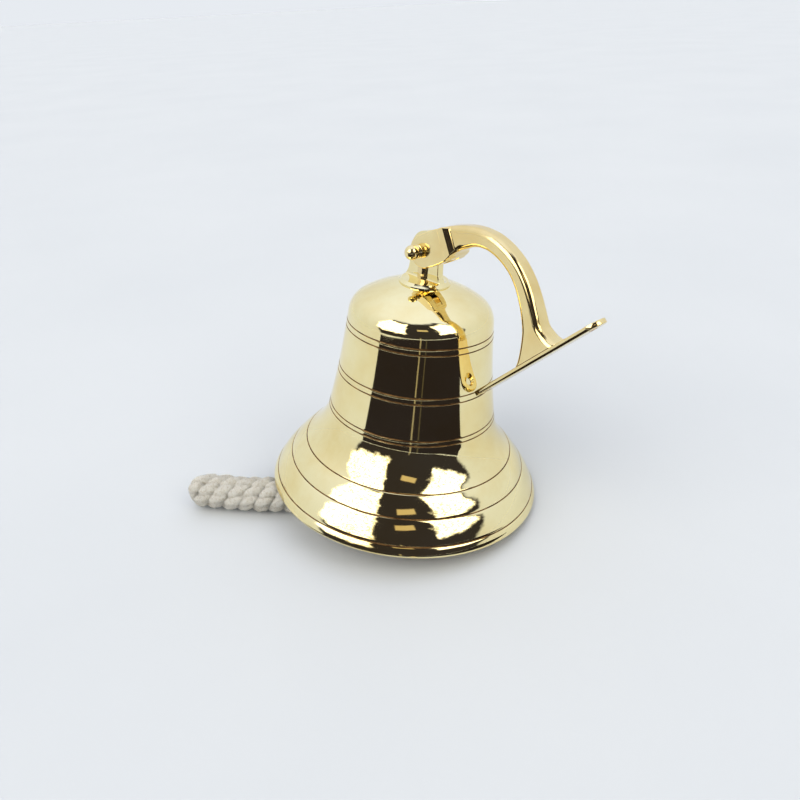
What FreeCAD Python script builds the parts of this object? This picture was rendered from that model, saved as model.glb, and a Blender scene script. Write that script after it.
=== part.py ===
import FreeCAD, Part
import math
import os
import Sketcher
from FreeCAD import Vector, Rotation, Placement

# Brass ship's bell on a folding wall bracket, with its clapper and a short
# thick bell rope. Millimetres. The row frame has +Z up; the bell stands on
# its rim at Z = 0 and leans a few degrees, because its rope lies under the rim.
# The bell's own frame has its origin at the centre of the rim plane, z along
# the bell's axis, and the bracket folds in its x-z plane.

doc = FreeCAD.newDocument("ship_bell")
sheet = doc.addObject("Spreadsheet::Sheet", "dims")
sheet.Label = "dims"

VALUES = {}
_row = [0]


def put(alias, value):
    _row[0] += 1
    n = _row[0]
    sheet.set("A%d" % n, alias)
    sheet.set("B%d" % n, repr(round(float(value), 5)))
    sheet.setAlias("B%d" % n, alias)
    VALUES[alias] = round(float(value), 5)


for alias, value in [
    # where the bell stands
    ("tilt_angle", 7.622), ("lean_azimuth", 16.8243), ("bracket_azimuth", -44.5405),
    ("rim_centre_x", -7.713), ("rim_centre_y", -0.061), ("rim_centre_z", 9.75),
    # bell shell
    ("wall_hole_radius", 4.2), ("crown_top", 118.0), ("crown_radius", 60.0),
    ("line_width", 0.7), ("line_depth", 0.42),
    # crown stem
    ("foot_radius", 13.2), ("stem_radius", 9.6), ("tongue_thickness", 4.3),
    ("pin_height", 133.5), ("pin_radius", 2.6), ("tongue_hole_radius", 2.66),
    ("tongue_top_radius", 9.3), ("stem_shoulder", 118.7), ("stud_radius", 4.0),
    ("stud_depth", 126.0),
    # bracket
    ("fork_half_width", 7.6), ("slot_width", 5.0), ("slot_radius", 13.2),
    ("plate_thickness", 2.4), ("plate_width", 13.0), ("plate_length", 81.0),
    ("plate_hole_radius", 2.1), ("plate_hole_pitch", 68.0), ("plate_angle", 45.5),
    ("foot_screw_radius", 1.75), ("foot_screw_pitch", 10.0), ("ball_radius", 3.65),
    ("ball_centre", 11.6),
    # clapper
    ("eye_height", 95.0), ("eye_hole_radius", 3.3), ("eye_outer_radius", 6.3),
    ("eye_thickness", 4.0), ("ring_radius", 5.0), ("ring_wire", 2.0),
    ("rod_radius", 3.0), ("ball_drop", 66.0), ("clapper_radius", 12.5),
    ("tail_drop", 86.0), ("tail_ring_radius", 4.6), ("tail_wire", 1.6),
    # rope
    ("rope_diameter", 18.8), ("becket_diameter", 4.6),
]:
    put(alias, value)
doc.recompute()
D = VALUES


def dims(name):
    return "dims." + name


# ---------------------------------------------------------------- placements
TILT = Rotation(Vector(-math.sin(math.radians(D["lean_azimuth"])),
                       math.cos(math.radians(D["lean_azimuth"])), 0), D["tilt_angle"])
SPIN = Rotation(Vector(0, 0, 1), D["bracket_azimuth"])
RIM = Vector(D["rim_centre_x"], D["rim_centre_y"], D["rim_centre_z"])
BELL = Placement(RIM, TILT.multiply(SPIN))
PIVOT = BELL.multVec(Vector(0, 0, D["eye_height"]))
CLAPPER = Placement(PIVOT, Rotation(Vector(0, 0, 1), D["lean_azimuth"]))
# the clapper's hinge axis, seen from the bell's own frame
AXIS_LOCAL = BELL.Rotation.inverted().multVec(CLAPPER.Rotation.multVec(Vector(0, 1, 0)))
EYE_TURN = math.degrees(math.atan2(AXIS_LOCAL.y, AXIS_LOCAL.x)) - 90.0

parts = []


def keep(obj, label):
    obj.Label = label
    parts.append((label, obj))
    return obj


def plane(body, role):
    return [f for f in body.Origin.OriginFeatures if f.Role == role][0]


def body_of(name):
    return doc.addObject("PartDesign::Body", name)


def sketch_on(body, name, role, offset=None):
    sk = body.newObject("Sketcher::SketchObject", name)
    sk.AttachmentSupport = [(plane(body, role), "")]
    sk.MapMode = "FlatFace"
    if offset is not None:
        sk.AttachmentOffset = offset
    return sk


def arc_between(p, q, radius, left):
    """Arc from p to q; with left True its centre is on the left of p to q."""
    dx, dy = q[0] - p[0], q[1] - p[1]
    chord = math.hypot(dx, dy)
    h = math.sqrt(max(radius * radius - chord * chord / 4.0, 0.0))
    nx, ny = -dy / chord, dx / chord
    if not left:
        nx, ny = -nx, -ny
    cx, cy = (p[0] + q[0]) / 2 + nx * h, (p[1] + q[1]) / 2 + ny * h
    a0 = math.atan2(p[1] - cy, p[0] - cx)
    a1 = math.atan2(q[1] - cy, q[0] - cx)
    # centre on the left means that p to q runs counter-clockwise
    if left:
        while a1 < a0:
            a1 += 2 * math.pi
        g = Part.ArcOfCircle(Part.Circle(Vector(cx, cy, 0), Vector(0, 0, 1), radius), a0, a1)
        return g, 1, 2
    while a0 < a1:
        a0 += 2 * math.pi
    g = Part.ArcOfCircle(Part.Circle(Vector(cx, cy, 0), Vector(0, 0, 1), radius), a1, a0)
    return g, 2, 1


def profile(sk, prefix, points, bends=None):
    """Closed profile through points (x, y). Every point and every bend radius is a cell of the sheet."""
    bends = bends or {}
    n = len(points)
    ends = []
    for i, (x, y) in enumerate(points):
        if abs(x) > 1e-9:
            put("%s_x_%s" % (prefix, chr(97 + i)), x)
        if abs(y) > 1e-9:
            put("%s_y_%s" % (prefix, chr(97 + i)), y)
    for i in range(n):
        p, q = points[i], points[(i + 1) % n]
        if i in bends:
            radius, left = bends[i]
            g, sp, ep = arc_between(p, q, radius, left)
            idx = sk.addGeometry(g, False)
            put("%s_bend_%s" % (prefix, chr(97 + i)), radius)
        else:
            idx = sk.addGeometry(Part.LineSegment(Vector(p[0], p[1], 0), Vector(q[0], q[1], 0)), False)
            sp, ep = 1, 2
        ends.append((idx, sp, ep))
    for i in range(n):
        j = (i + 1) % n
        sk.addConstraint(Sketcher.Constraint("Coincident", ends[i][0], ends[i][2], ends[j][0], ends[j][1]))
    for i, (x, y) in enumerate(points):
        g, s, _ = ends[i]
        if abs(x) > 1e-9:
            c = sk.addConstraint(Sketcher.Constraint("DistanceX", -1, 1, g, s, x))
            sk.setExpression("Constraints[%d]" % c, dims("%s_x_%s" % (prefix, chr(97 + i))))
        else:
            sk.addConstraint(Sketcher.Constraint("PointOnObject", g, s, -2))
        if abs(y) > 1e-9:
            c = sk.addConstraint(Sketcher.Constraint("DistanceY", -1, 1, g, s, y))
            sk.setExpression("Constraints[%d]" % c, dims("%s_y_%s" % (prefix, chr(97 + i))))
        else:
            sk.addConstraint(Sketcher.Constraint("PointOnObject", g, s, -1))
    for i in bends:
        c = sk.addConstraint(Sketcher.Constraint("Radius", ends[i][0], bends[i][0]))
        sk.setExpression("Constraints[%d]" % c, dims("%s_bend_%s" % (prefix, chr(97 + i))))
    doc.recompute()


def circle(sk, x, y, radius, alias):
    g = sk.addGeometry(Part.Circle(Vector(x, y, 0), Vector(0, 0, 1), radius), False)
    c = sk.addConstraint(Sketcher.Constraint("Radius", g, radius))
    sk.setExpression("Constraints[%d]" % c, dims(alias))
    return g


def revolve(body, sk, name="Revolution"):
    r = body.newObject("PartDesign::Revolution", name)
    r.Profile = sk
    r.ReferenceAxis = (sk, ["V_Axis"])
    r.Angle = 360.0
    doc.recompute()
    return r


def cut_check(body, feature, before, what):
    doc.recompute()
    after = body.Shape.Volume
    if not after < before - 1e-3:
        raise RuntimeError("%s cut nothing" % what)


def pocket(body, sk, name, length=None, through=False, midplane=False, reverse=False):
    before = body.Shape.Volume
    p = body.newObject("PartDesign::Pocket", name)
    p.Profile = sk
    if midplane:
        p.Midplane = True
    if reverse:
        p.Reversed = True
    if through:
        p.Type = 1
    else:
        p.Type = 0
        if isinstance(length, str):
            p.setExpression("Length", length)
        else:
            p.Length = length
    cut_check(body, p, before, name)
    return p


# ---------------------------------------------------------------- bell shell
# Outer side from the lip up to the bolt hole, then back down inside.
shell = body_of("bell_shell")
outer = [
    (70.6, 0.0), (73.4, 0.0), (75.0, 1.6), (72.8, 5.8), (65.2, 16.7), (57.2, 25.9),
    (46.1, 43.5), (38.4, 94.5), (37.7, 100.2), (32.2, 108.628), (4.2, 117.853),
]
inner = [
    (4.2, 114.344), (30.2, 105.752), (34.5, 99.2), (35.3, 94.3), (43.3, 42.0),
    (54.3, 23.4), (61.9, 14.0), (69.0, 4.2),
]
sk = sketch_on(shell, "shell_profile", "XZ_Plane")
profile(sk, "shell", outer + inner, {
    1: (1.6, True), 2: (14.0, True), 3: (40.0, True), 4: (46.0, True), 5: (39.0, False),
    6: (450.0, False), 8: (11.6, True), 9: (60.0, True),
    11: (56.5, False), 12: (8.6, False), 14: (453.0, True), 15: (42.0, True),
})
revolve(shell, sk, "shell_turning")

# the fine turned lines, three pairs and three single ones
OUT = [(75.0, 1.6), (72.8, 5.8), (65.2, 16.7), (57.2, 25.9)]


def outer_radius(z):
    """Outer radius of the shell at height z, found on the real solid."""
    probe = Part.makeLine(Vector(30, 0, z), Vector(90, 0, z))
    cut = shell.Shape.common(probe)
    return max(v.X for v in cut.Vertexes)


lines = [95.9, 92.8, 71.0, 67.9, 49.05, 46.65, 25.9, 16.7, 5.8]
cuts = []
for z in lines:
    half = D["line_width"] / 2.0
    r_low, r_high, r_mid = outer_radius(z - half), outer_radius(z + half), outer_radius(z)
    slope = math.atan2(r_low - r_high, 2 * half)
    nx, nz = math.cos(slope), math.sin(slope)
    tip = (r_mid - D["line_depth"] * nx, z - D["line_depth"] * nz)
    tx, tz = math.sin(slope), -math.cos(slope)
    a = (r_mid + 0.6 * nx + half * 1.4 * tx, z + 0.6 * nz + half * 1.4 * tz)
    b = (r_mid + 0.6 * nx - half * 1.4 * tx, z + 0.6 * nz - half * 1.4 * tz)
    cuts.append([tip, a, b])
sk = sketch_on(shell, "turned_lines", "XZ_Plane")
for k, triangle in enumerate(cuts):
    profile(sk, "line%s" % chr(97 + k), triangle)
before = shell.Shape.Volume
g = shell.newObject("PartDesign::Groove", "turned_line_cut")
g.Profile = sk
g.ReferenceAxis = (sk, ["V_Axis"])
g.Angle = 360.0
cut_check(shell, g, before, "the turned lines")
shell.Placement = BELL
keep(shell, "bell_shell")

# ---------------------------------------------------------------- crown stem
stem = body_of("crown_stem")
sk = sketch_on(stem, "stem_profile", "XZ_Plane")
zf = 118.0 - (60.0 - math.sqrt(60.0 ** 2 - 13.2 ** 2))
zi = 118.0 - (60.0 - math.sqrt(60.0 ** 2 - 4.0 ** 2))
profile(sk, "stem", [
    (0.0, 126.0), (4.0, 126.0), (4.0, zi), (13.2, zf), (13.2, zf + 0.8), (9.9, 124.2),
    (9.6, 128.0), (9.6, 143.4), (0.0, 143.4),
], {2: (60.0, False), 4: (11.0, False)})
revolve(stem, sk, "stem_turning")
# the two flats that make the tongue
for side in (1, -1):
    sk = sketch_on(stem, "flat_%s" % ("front" if side > 0 else "back"), "XZ_Plane")
    profile(sk, "flat%s" % ("a" if side > 0 else "b"), [(-20.0, 118.7), (20.0, 118.7), (20.0, 146.0), (-20.0, 146.0)])
    sk.AttachmentOffset = Placement(Vector(0, 0, side * D["tongue_thickness"] / 2.0), Rotation())
    sk.setExpression(".AttachmentOffset.Base.z", ("" if side > 0 else "-") + "dims.tongue_thickness / 2")
    pocket(stem, sk, "flat_cut_%s" % ("front" if side > 0 else "back"), length=20.0, reverse=(side > 0))
# rounded top about the pin
sk = sketch_on(stem, "top_round", "XZ_Plane")
r = D["tongue_top_radius"]
profile(sk, "top", [(r, 133.6), (12.0, 133.6), (12.0, 146.0), (-12.0, 146.0), (-12.0, 133.6), (-r, 133.6)],
        {5: (r + 0.001, False)})
pocket(stem, sk, "top_rounding", length=20.0, midplane=True)
sk = sketch_on(stem, "tongue_hole", "XZ_Plane")
circle(sk, 0, 133.5, D["tongue_hole_radius"], "tongue_hole_radius")
pocket(stem, sk, "pin_bore", through=True, midplane=True)
stem.Placement = BELL
keep(stem, "crown_stem")

# ------------------------------------------------- eye bolt, washer and nut
# The bolt passes through the dome and screws into the stem. Its lower end is
# a drilled lug that the clapper's ring hangs in.
bolt = body_of("eye_bolt")
sk = sketch_on(bolt, "bolt_profile", "XZ_Plane")
profile(sk, "bolt", [(0.0, 99.0), (3.2, 99.0), (4.0, 102.0), (4.0, 125.5), (0.0, 125.5)])
revolve(bolt, sk, "bolt_turning")
sk = sketch_on(bolt, "lug_outline", "XZ_Plane")
circle(sk, 0, 95.0, D["eye_outer_radius"], "eye_outer_radius")
pad = bolt.newObject("PartDesign::Pad", "lug")
pad.Profile = sk
pad.Midplane = True
pad.setExpression("Length", "dims.eye_thickness")
doc.recompute()
sk = sketch_on(bolt, "lug_hole", "XZ_Plane")
circle(sk, 0, 95.0, D["eye_hole_radius"], "eye_hole_radius")
pocket(bolt, sk, "lug_bore", through=True, midplane=True)
bolt.Placement = BELL.multiply(Placement(Vector(0, 0, 0), Rotation(Vector(0, 0, 1), EYE_TURN)))
keep(bolt, "eye_bolt")


def cylinder(name, radius, height, base, axis=Vector(0, 0, 1)):
    c = doc.addObject("Part::Cylinder", name)
    if isinstance(radius, str):
        c.setExpression("Radius", radius)
    else:
        c.Radius = radius
    c.Height = height
    c.Placement = Placement(base, Rotation(Vector(0, 0, 1), axis))
    return c


def boolean(kind, name, base, tool):
    o = doc.addObject("Part::" + kind, name)
    o.Base = base
    o.Tool = tool
    doc.recompute()
    return o


# inside face of the dome is nearly flat here; the washer's rim meets it
put("washer_radius", 10.0)
washer = boolean("Cut", "inner_washer",
                 cylinder("washer_disc", "dims.washer_radius", 1.6, Vector(0, 0, 112.0)),
                 cylinder("washer_hole", 4.05, 4.0, Vector(0, 0, 110.5)))
washer.Placement = BELL
keep(washer, "inner_washer")

nut = body_of("crown_nut")
sk = sketch_on(nut, "hexagon", "XY_Plane", Placement(Vector(0, 0, 106.0), Rotation()))
hexa = [(7.6 * math.cos(math.radians(60 * i)), 7.6 * math.sin(math.radians(60 * i))) for i in range(6)]
hexa = [(x, 0.0 if abs(y) < 1e-9 else y) for x, y in hexa]
profile(sk, "hexa", hexa)
pad = nut.newObject("PartDesign::Pad", "nut_blank")
pad.Profile = sk
pad.Length = 6.0
doc.recompute()
sk = sketch_on(nut, "nut_hole", "XY_Plane", Placement(Vector(0, 0, 106.0), Rotation()))
circle(sk, 0, 0, D["stud_radius"], "stud_radius")
pocket(nut, sk, "nut_bore", through=True, midplane=True)
nut.Placement = BELL
keep(nut, "crown_nut")

# ---------------------------------------------------------------- wall plate
# e runs along the plate, m is its normal on the wall side, both in the bracket's plane
ang = math.radians(D["plate_angle"])
E = Vector(math.cos(ang), 0, math.sin(ang))
M = Vector(math.sin(ang), 0, -math.cos(ang))
E_MID = 121.5          # plate's middle along e
M_ARM = -20.5          # the face under the arm's foot
mid = E * E_MID + M * M_ARM
# local frame of the plate: x along e, z towards the wall
PLATE = Placement(mid, Rotation(E, M.cross(E), M, "XYZ"))

plate = body_of("wall_plate")
sk = sketch_on(plate, "plate_outline", "XY_Plane")
hl, hw = D["plate_length"] / 2.0, D["plate_width"] / 2.0
profile(sk, "plate", [(-(hl - hw), -hw), (hl - hw, -hw), (hl - hw, hw), (-(hl - hw), hw)],
        {1: (hw + 0.001, True), 3: (hw + 0.001, True)})
pad = plate.newObject("PartDesign::Pad", "plate_strip")
pad.Profile = sk
pad.setExpression("Length", "dims.plate_thickness")
doc.recompute()
sk = sketch_on(plate, "plate_holes", "XY_Plane", Placement(Vector(0, 0, 0), Rotation()))
for s in (-1, 1):
    circle(sk, s * D["plate_hole_pitch"] / 2.0, 0, D["plate_hole_radius"], "plate_hole_radius")
pocket(plate, sk, "screw_holes", through=True, midplane=True)
# countersunk holes on the wall side for the screws that hold the arm's foot
FOOT_MID = 4.2
for k, s in enumerate((-1, 1)):
    before = plate.Shape.Volume
    sk = sketch_on(plate, "sink_profile_%d" % k, "XZ_Plane")
    c0 = FOOT_MID + s * D["foot_screw_pitch"] / 2.0
    # drawn in a plane whose v axis is the plate's z
    profile(sk, "sink%s" % chr(97 + k), [(c0, -1.0), (c0 + 1.75, -1.0), (c0 + 1.75, 0.9), (c0 + 3.4, 2.55), (c0, 2.55)])
    g = plate.newObject("PartDesign::Groove", "sink_%d" % k)
    g.Profile = sk
    g.ReferenceAxis = (sk, ["Edge5"])
    g.Angle = 360.0
    cut_check(plate, g, before, "sink")
plate.Placement = BELL.multiply(PLATE)
keep(plate, "wall_plate")

# ---------------------------------------------------------------- foot screws
screw_objs = []
for k, s in enumerate((-1, 1)):
    c0 = FOOT_MID + s * D["foot_screw_pitch"] / 2.0
    shank = cylinder("screw_shank_%d" % k, "dims.foot_screw_radius", 7.4, Vector(c0, 0, -5.5))
    cone = doc.addObject("Part::Cone", "screw_head_%d" % k)
    cone.Radius1 = 1.75
    cone.Radius2 = 3.2
    cone.Height = 1.45
    cone.Placement = Placement(Vector(c0, 0, 0.9), Rotation())
    one = boolean("Fuse", "screw_%d" % k, shank, cone)
    slot = doc.addObject("Part::Box", "screw_slot_%d" % k)
    slot.Length, slot.Width, slot.Height = 8.0, 0.7, 1.0
    slot.Placement = Placement(Vector(c0 - 4.0, -0.35, 1.75), Rotation())
    screw_objs.append(boolean("Cut", "slotted_screw_%d" % k, one, slot))
screws = doc.addObject("Part::Compound", "foot_screws")
screws.Links = screw_objs
doc.recompute()
screws.Placement = BELL.multiply(PLATE)
keep(screws, "foot_screws")

# ---------------------------------------------------------------- bracket arm
# Lofted gooseneck: rounded rectangles along its centreline, in-plane size
# first, then the size across. The last sections turn parallel to the plate.
arm = body_of("bracket_arm")
pad_pt = E * 122.9 + M * M_ARM
SECTIONS = [
    # x, z, direction of travel (degrees), in-plane size, size across, corner
    (16.6, 141.3, 28.0, 15.2, 15.2, 2.4),
    (20.6, 143.3, 25.0, 11.6, 9.6, 3.0),
    (27.7, 146.1, 17.0, 8.2, 9.2, 3.0),
    (34.6, 147.1, 0.0, 7.4, 9.2, 3.0),
    (43.6, 145.4, -22.0, 7.4, 9.6, 3.0),
    (51.4, 141.2, -36.0, 7.7, 10.0, 3.0),
    (58.0, 134.9, -49.0, 8.0, 10.4, 3.0),
    (63.2, 127.2, -62.0, 8.4, 10.8, 3.0),
    (66.6, 120.2, -66.0, 9.2, 11.2, 3.0),
    ((E * 130.2 + M * (M_ARM - 11.2)).x, (E * 130.2 + M * (M_ARM - 11.2)).z, -60.0, 10.4, 11.4, 3.0),
    ((E * 128.7 + M * (M_ARM - 7.6)).x, (E * 128.7 + M * (M_ARM - 7.6)).z, -53.0, 13.8, 11.6, 3.2),
    ((E * 127.1 + M * (M_ARM - 3.8)).x, (E * 127.1 + M * (M_ARM - 3.8)).z, -48.0, 18.6, 12.0, 3.6),
    ((E * 126.0 + M * (M_ARM - 1.5)).x, (E * 126.0 + M * (M_ARM - 1.5)).z, -44.5, 22.8, 12.3, 4.2),
    ((E * 125.4 + M * M_ARM).x, (E * 125.4 + M * M_ARM).z, -44.5, 25.6, 12.5, 4.6),
]


def rounded(sk, prefix, u, v, c):
    """Rounded rectangle centred on the sketch's origin; its sizes are cells of the sheet."""
    hu, hv = u / 2.0, v / 2.0
    pts = [(hu - c, -hv), (hu, -hv + c), (hu, hv - c), (hu - c, hv), (-hu + c, hv), (-hu, hv - c), (-hu, -hv + c), (-hu + c, -hv)]
    profile(sk, prefix, pts, {0: (c, True), 2: (c, True), 4: (c, True), 6: (c, True)})


loft_sketches = []
for k, (x, z, travel, u, v, c) in enumerate(SECTIONS):
    t = math.radians(travel)
    T = Vector(math.cos(t), 0, math.sin(t))       # along the arm
    N = Vector(-math.sin(t), 0, math.cos(t))      # in-plane, across it
    sk = body_sketch = arm.newObject("Sketcher::SketchObject", "arm_section_%s" % chr(97 + k))
    sk.AttachmentSupport = [(plane(arm, "XY_Plane"), "")]
    sk.MapMode = "FlatFace"
    sk.AttachmentOffset = Placement(Vector(x, 0, z), Rotation(N, T.cross(N), T, "XYZ"))
    rounded(sk, "arm%s" % chr(97 + k), u, v, c)
    loft_sketches.append(sk)
loft = arm.newObject("PartDesign::AdditiveLoft", "gooseneck")
loft.Profile = loft_sketches[0]
loft.Sections = loft_sketches[1:]
loft.Ruled = False
loft.Closed = False
doc.recompute()
# the fork's block: an oval strip round the pin, padded to the fork's width
sk = sketch_on(arm, "fork_outline", "XZ_Plane")
d = Vector(math.cos(math.radians(29.0)), math.sin(math.radians(29.0)), 0)
n = Vector(-d.y, d.x, 0)
cc = Vector(2.9, 134.3, 0)


def strip(s, o):
    q = cc + d * s + n * o
    return (q.x, q.y)


profile(sk, "fork", [strip(0.5, -8.5), strip(15.6, -8.4), strip(15.9, 7.0), strip(0.0, 7.8)],
        {0: (200.0, False), 2: (60.0, True), 3: (8.4, True)})
pad = arm.newObject("PartDesign::Pad", "fork_block")
pad.Profile = sk
pad.Midplane = True
pad.Length = 15.2
pad.setExpression("Length", "dims.fork_half_width * 2")
doc.recompute()
# slot for the tongue
sk = sketch_on(arm, "slot_outline", "XZ_Plane")
sr = D["slot_radius"]
fork_turn = math.radians(29.0)
profile(sk, "slot", [(-sr * math.sin(fork_turn), 133.5 + sr * math.cos(fork_turn)), (-16.0, 158.0), (-24.0, 110.0),
                     (sr * math.sin(fork_turn), 133.5 - sr * math.cos(fork_turn))],
        {3: (sr + 0.002, True)})
pocket(arm, sk, "fork_slot", length="dims.slot_width", midplane=True)
sk = sketch_on(arm, "arm_pin_hole", "XZ_Plane")
circle(sk, 0, 133.5, D["pin_radius"], "pin_radius")
pocket(arm, sk, "arm_pin_bore", through=True, midplane=True)
# threaded holes for the foot screws
foot = Part.makeCompound([])
for k, s in enumerate((-1, 1)):
    c0 = FOOT_MID + s * D["foot_screw_pitch"] / 2.0
    base = PLATE.multVec(Vector(c0, 0, -6.0))
    sk = arm.newObject("Sketcher::SketchObject", "foot_hole_%d" % k)
    sk.AttachmentSupport = [(plane(arm, "XY_Plane"), "")]
    sk.MapMode = "FlatFace"
    at = PLATE.multVec(Vector(c0, 0, 0.0))
    sk.AttachmentOffset = Placement(at, PLATE.Rotation)
    circle(sk, 0, 0, D["foot_screw_radius"], "foot_screw_radius")
    pocket(arm, sk, "foot_bore_%d" % k, length=5.7)
arm.Placement = BELL
keep(arm, "bracket_arm")

# ---------------------------------------------------------------- pivot pin
pin = body_of("pivot_pin")
sk = sketch_on(pin, "pin_profile", "XZ_Plane")
b, bc = D["ball_radius"], D["ball_centre"]
neck = math.sqrt(b * b - 2.6 * 2.6)
tip = math.sqrt(b * b - 0.25)
profile(sk, "pin", [(0.0, -11.2), (2.1, -11.2), (2.6, -7.6), (2.6, 7.6), (3.4, 7.6), (3.1, 8.3), (2.6, bc - neck), (0.5, bc + tip), (0.0, bc + tip)],
        {6: (b, True)})
revolve(pin, sk, "pin_turning")
# the pin's ball end points away from the arm's far side
pin.Placement = BELL.multiply(Placement(Vector(0, 0, 133.5), Rotation(Vector(1, 0, 0), 90)))
keep(pin, "pivot_pin")

pnut = body_of("pin_nut")
sk = sketch_on(pnut, "pin_nut_profile", "XZ_Plane")
profile(sk, "pinnut", [(0.0, 11.2), (2.1, 11.2), (2.6, 7.6), (3.9, 7.6), (3.9, 8.2), (2.7, bc - math.sqrt(b * b - 2.7 * 2.7)), (0.5, bc + tip), (0.0, bc + tip)],
        {5: (b, True)})
revolve(pnut, sk, "pin_nut_turning")
pnut.Placement = BELL.multiply(Placement(Vector(0, 0, 133.5), Rotation(Vector(1, 0, 0), -90)))
keep(pnut, "pin_nut")

# ---------------------------------------------------------------- clapper
# Local frame: origin at the pivot, hinge axis along y, hanging along -z.
rod_body = body_of("rod_body")
sk = sketch_on(rod_body, "rod_profile", "XZ_Plane")
top = -(D["ring_radius"] * 2 - 0.6)
profile(sk, "rod", [(0.0, -79.4), (3.0, -79.4), (3.0, -58.0), (2.6, -40.0), (2.2, -14.0), (2.6, top), (0.0, top)])
revolve(rod_body, sk, "rod_turning")
ring = doc.addObject("Part::Torus", "hanging_ring")
ring.setExpression("Radius1", "dims.ring_radius")
ring.setExpression("Radius2", "dims.ring_wire")
ring.Placement = Placement(Vector(0, 0, -D["ring_radius"]), Rotation(Vector(0, 1, 0), 90))
rod = boolean("Fuse", "clapper_rod", rod_body, ring)
rod.Placement = CLAPPER
keep(rod, "clapper_rod")

cball = body_of("clapper_ball")
sk = sketch_on(cball, "ball_profile", "XZ_Plane")
R, c0 = D["clapper_radius"], -D["ball_drop"]
drop = math.sqrt(R * R - 3.0 * 3.0)
profile(sk, "cball", [(3.0, c0 - drop), (12.5, c0), (3.0, c0 + drop)][0:1] + [(3.0, c0 + drop)], {0: (R, True)})
revolve(cball, sk, "ball_turning")
cball.Placement = CLAPPER
keep(cball, "clapper_ball")

tail = boolean("Fuse", "tail_eye", cylinder("tail_shank", 2.0, 1.8, Vector(0, 0, -81.2)),
               doc.addObject("Part::Torus", "tail_ring"))
tr = doc.getObject("tail_ring")
tr.setExpression("Radius1", "dims.tail_ring_radius")
tr.setExpression("Radius2", "dims.tail_wire")
tr.Placement = Placement(Vector(0, 0, -D["tail_drop"]), Rotation(Vector(1, 0, 0), 90))
tail.Placement = CLAPPER
keep(tail, "tail_eye")

# ---------------------------------------------------------------- lanyard
# The rope's route in the row frame, from its inner end to its free end.
SHIFT = Vector(D["rim_centre_x"], D["rim_centre_y"], 0)
ROUTE = [(-2.6, -17.4), (-28.0, -18.0), (-53.5, -17.5), (-79.0, -15.3), (-101.0, -12.2), (-119.6, -8.3)]
Z = D["rope_diameter"] / 2.0 + 0.02
route = [Vector(x, y, Z) + SHIFT for x, y in ROUTE]


def smooth_wire(points, closed=False, radii=None):
    """Straight runs joined by tangent arcs, each as large as its two runs allow."""
    count = len(points)
    edges, cuts = [], []
    idx = range(count) if closed else range(1, count - 1)
    arcs = {}
    for i in idx:
        p, a, b = points[i], points[i - 1], points[(i + 1) % count]
        u, v = (a - p), (b - p)
        la, lb = u.Length, v.Length
        u.normalize()
        v.normalize()
        turn = math.pi - u.getAngle(v)
        reach = 0.45 * min(la, lb)
        radius = reach / math.tan(turn / 2.0)
        if radii is not None:
            radii.append(radius)
        start, end = p + u * reach, p + v * reach
        bis = u + v
        bis.normalize()
        centre = p + bis * (radius / math.cos(turn / 2.0))
        middle = centre - bis * radius
        arcs[i] = (start, middle, end)
    last = arcs[0][2] if closed else points[0]
    for i in (list(range(1, count)) + [0] if closed else range(1, count - 1)):
        s, m, e = arcs[i]
        edges.append(Part.LineSegment(last, s).toShape())
        edges.append(Part.Arc(s, m, e).toShape())
        last = e
    if not closed:
        edges.append(Part.LineSegment(last, points[-1]).toShape())
    return Part.Wire(edges)


def tube(wire, radius, start, direction):
    ring = Part.Wire([Part.Circle(start, direction, radius).toShape()])
    return wire.makePipeShell([ring], True, False)


radii = []
spine = smooth_wire(route, radii=radii)
print("rope radii mm", [round(x, 1) for x in radii], "length", round(spine.Length, 2))
shape = tube(spine, D["rope_diameter"] / 2.0, route[0], route[1] - route[0])
want = math.pi * (D["rope_diameter"] / 2.0) ** 2 * spine.Length
print("rope volume", round(shape.Volume, 1), "section x length", round(want, 1))
if abs(shape.Volume - want) > 0.01 * want:
    raise RuntimeError("the rope's tube has the wrong volume")
rope = doc.addObject("Part::Feature", "lanyard_rope")
rope.Shape = shape
keep(rope, "lanyard_rope")

# crown finish on the free end, and the whipping on the inner end
knot = body_of("lanyard_knot")
sk = sketch_on(knot, "knot_profile", "XZ_Plane")
rr = D["rope_diameter"] / 2.0
profile(sk, "knot", [(0.0, 0.0), (rr, 0.0), (rr - 1.6, 3.2), (1.2, 4.9), (0.0, 4.9)], {1: (4.0, True), 2: (14.0, True)})
revolve(knot, sk, "knot_turning")
end_dir = route[-1] - route[-2]
knot.Placement = Placement(route[-1], Rotation(Vector(0, 0, 1), end_dir))
keep(knot, "lanyard_knot")

whip = body_of("lanyard_whipping")
sk = sketch_on(whip, "whipping_profile", "XZ_Plane")
profile(sk, "whip", [(0.0, 0.0), (rr, 0.0), (rr, 4.5), (rr - 3.0, 7.0), (0.0, 7.0)])
revolve(whip, sk, "whipping_turning")
start_dir = route[0] - route[1]
whip.Placement = Placement(route[0], Rotation(Vector(0, 0, 1), start_dir))
keep(whip, "lanyard_whipping")

# becket: the thin loop that ties the rope to the tail eye, drawn as one straight leg
tail_centre = CLAPPER.multVec(Vector(0, 0, -D["tail_drop"]))
wdir = Vector(start_dir)
wdir.normalize()
w_end = route[0] + wdir * 7.0
flat = Vector(tail_centre.x - w_end.x, tail_centre.y - w_end.y, 0)
reach = flat.Length
flat.normalize()
rb = D["becket_diameter"] / 2.0
put("becket_reach", reach)
becket = doc.addObject("Part::Feature", "lanyard_becket")
leg_start = w_end + wdir * (rb + 0.4)
leg_end = tail_centre - flat * (D["tail_ring_radius"] + D["tail_wire"] + rb + 0.6) + Vector(0, 0, -1.0)
leg = leg_end - leg_start
leg_len = leg.Length
leg.normalize()
becket.Shape = Part.makeCylinder(rb, leg_len, leg_start, leg)
keep(becket, "lanyard_becket")

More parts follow.
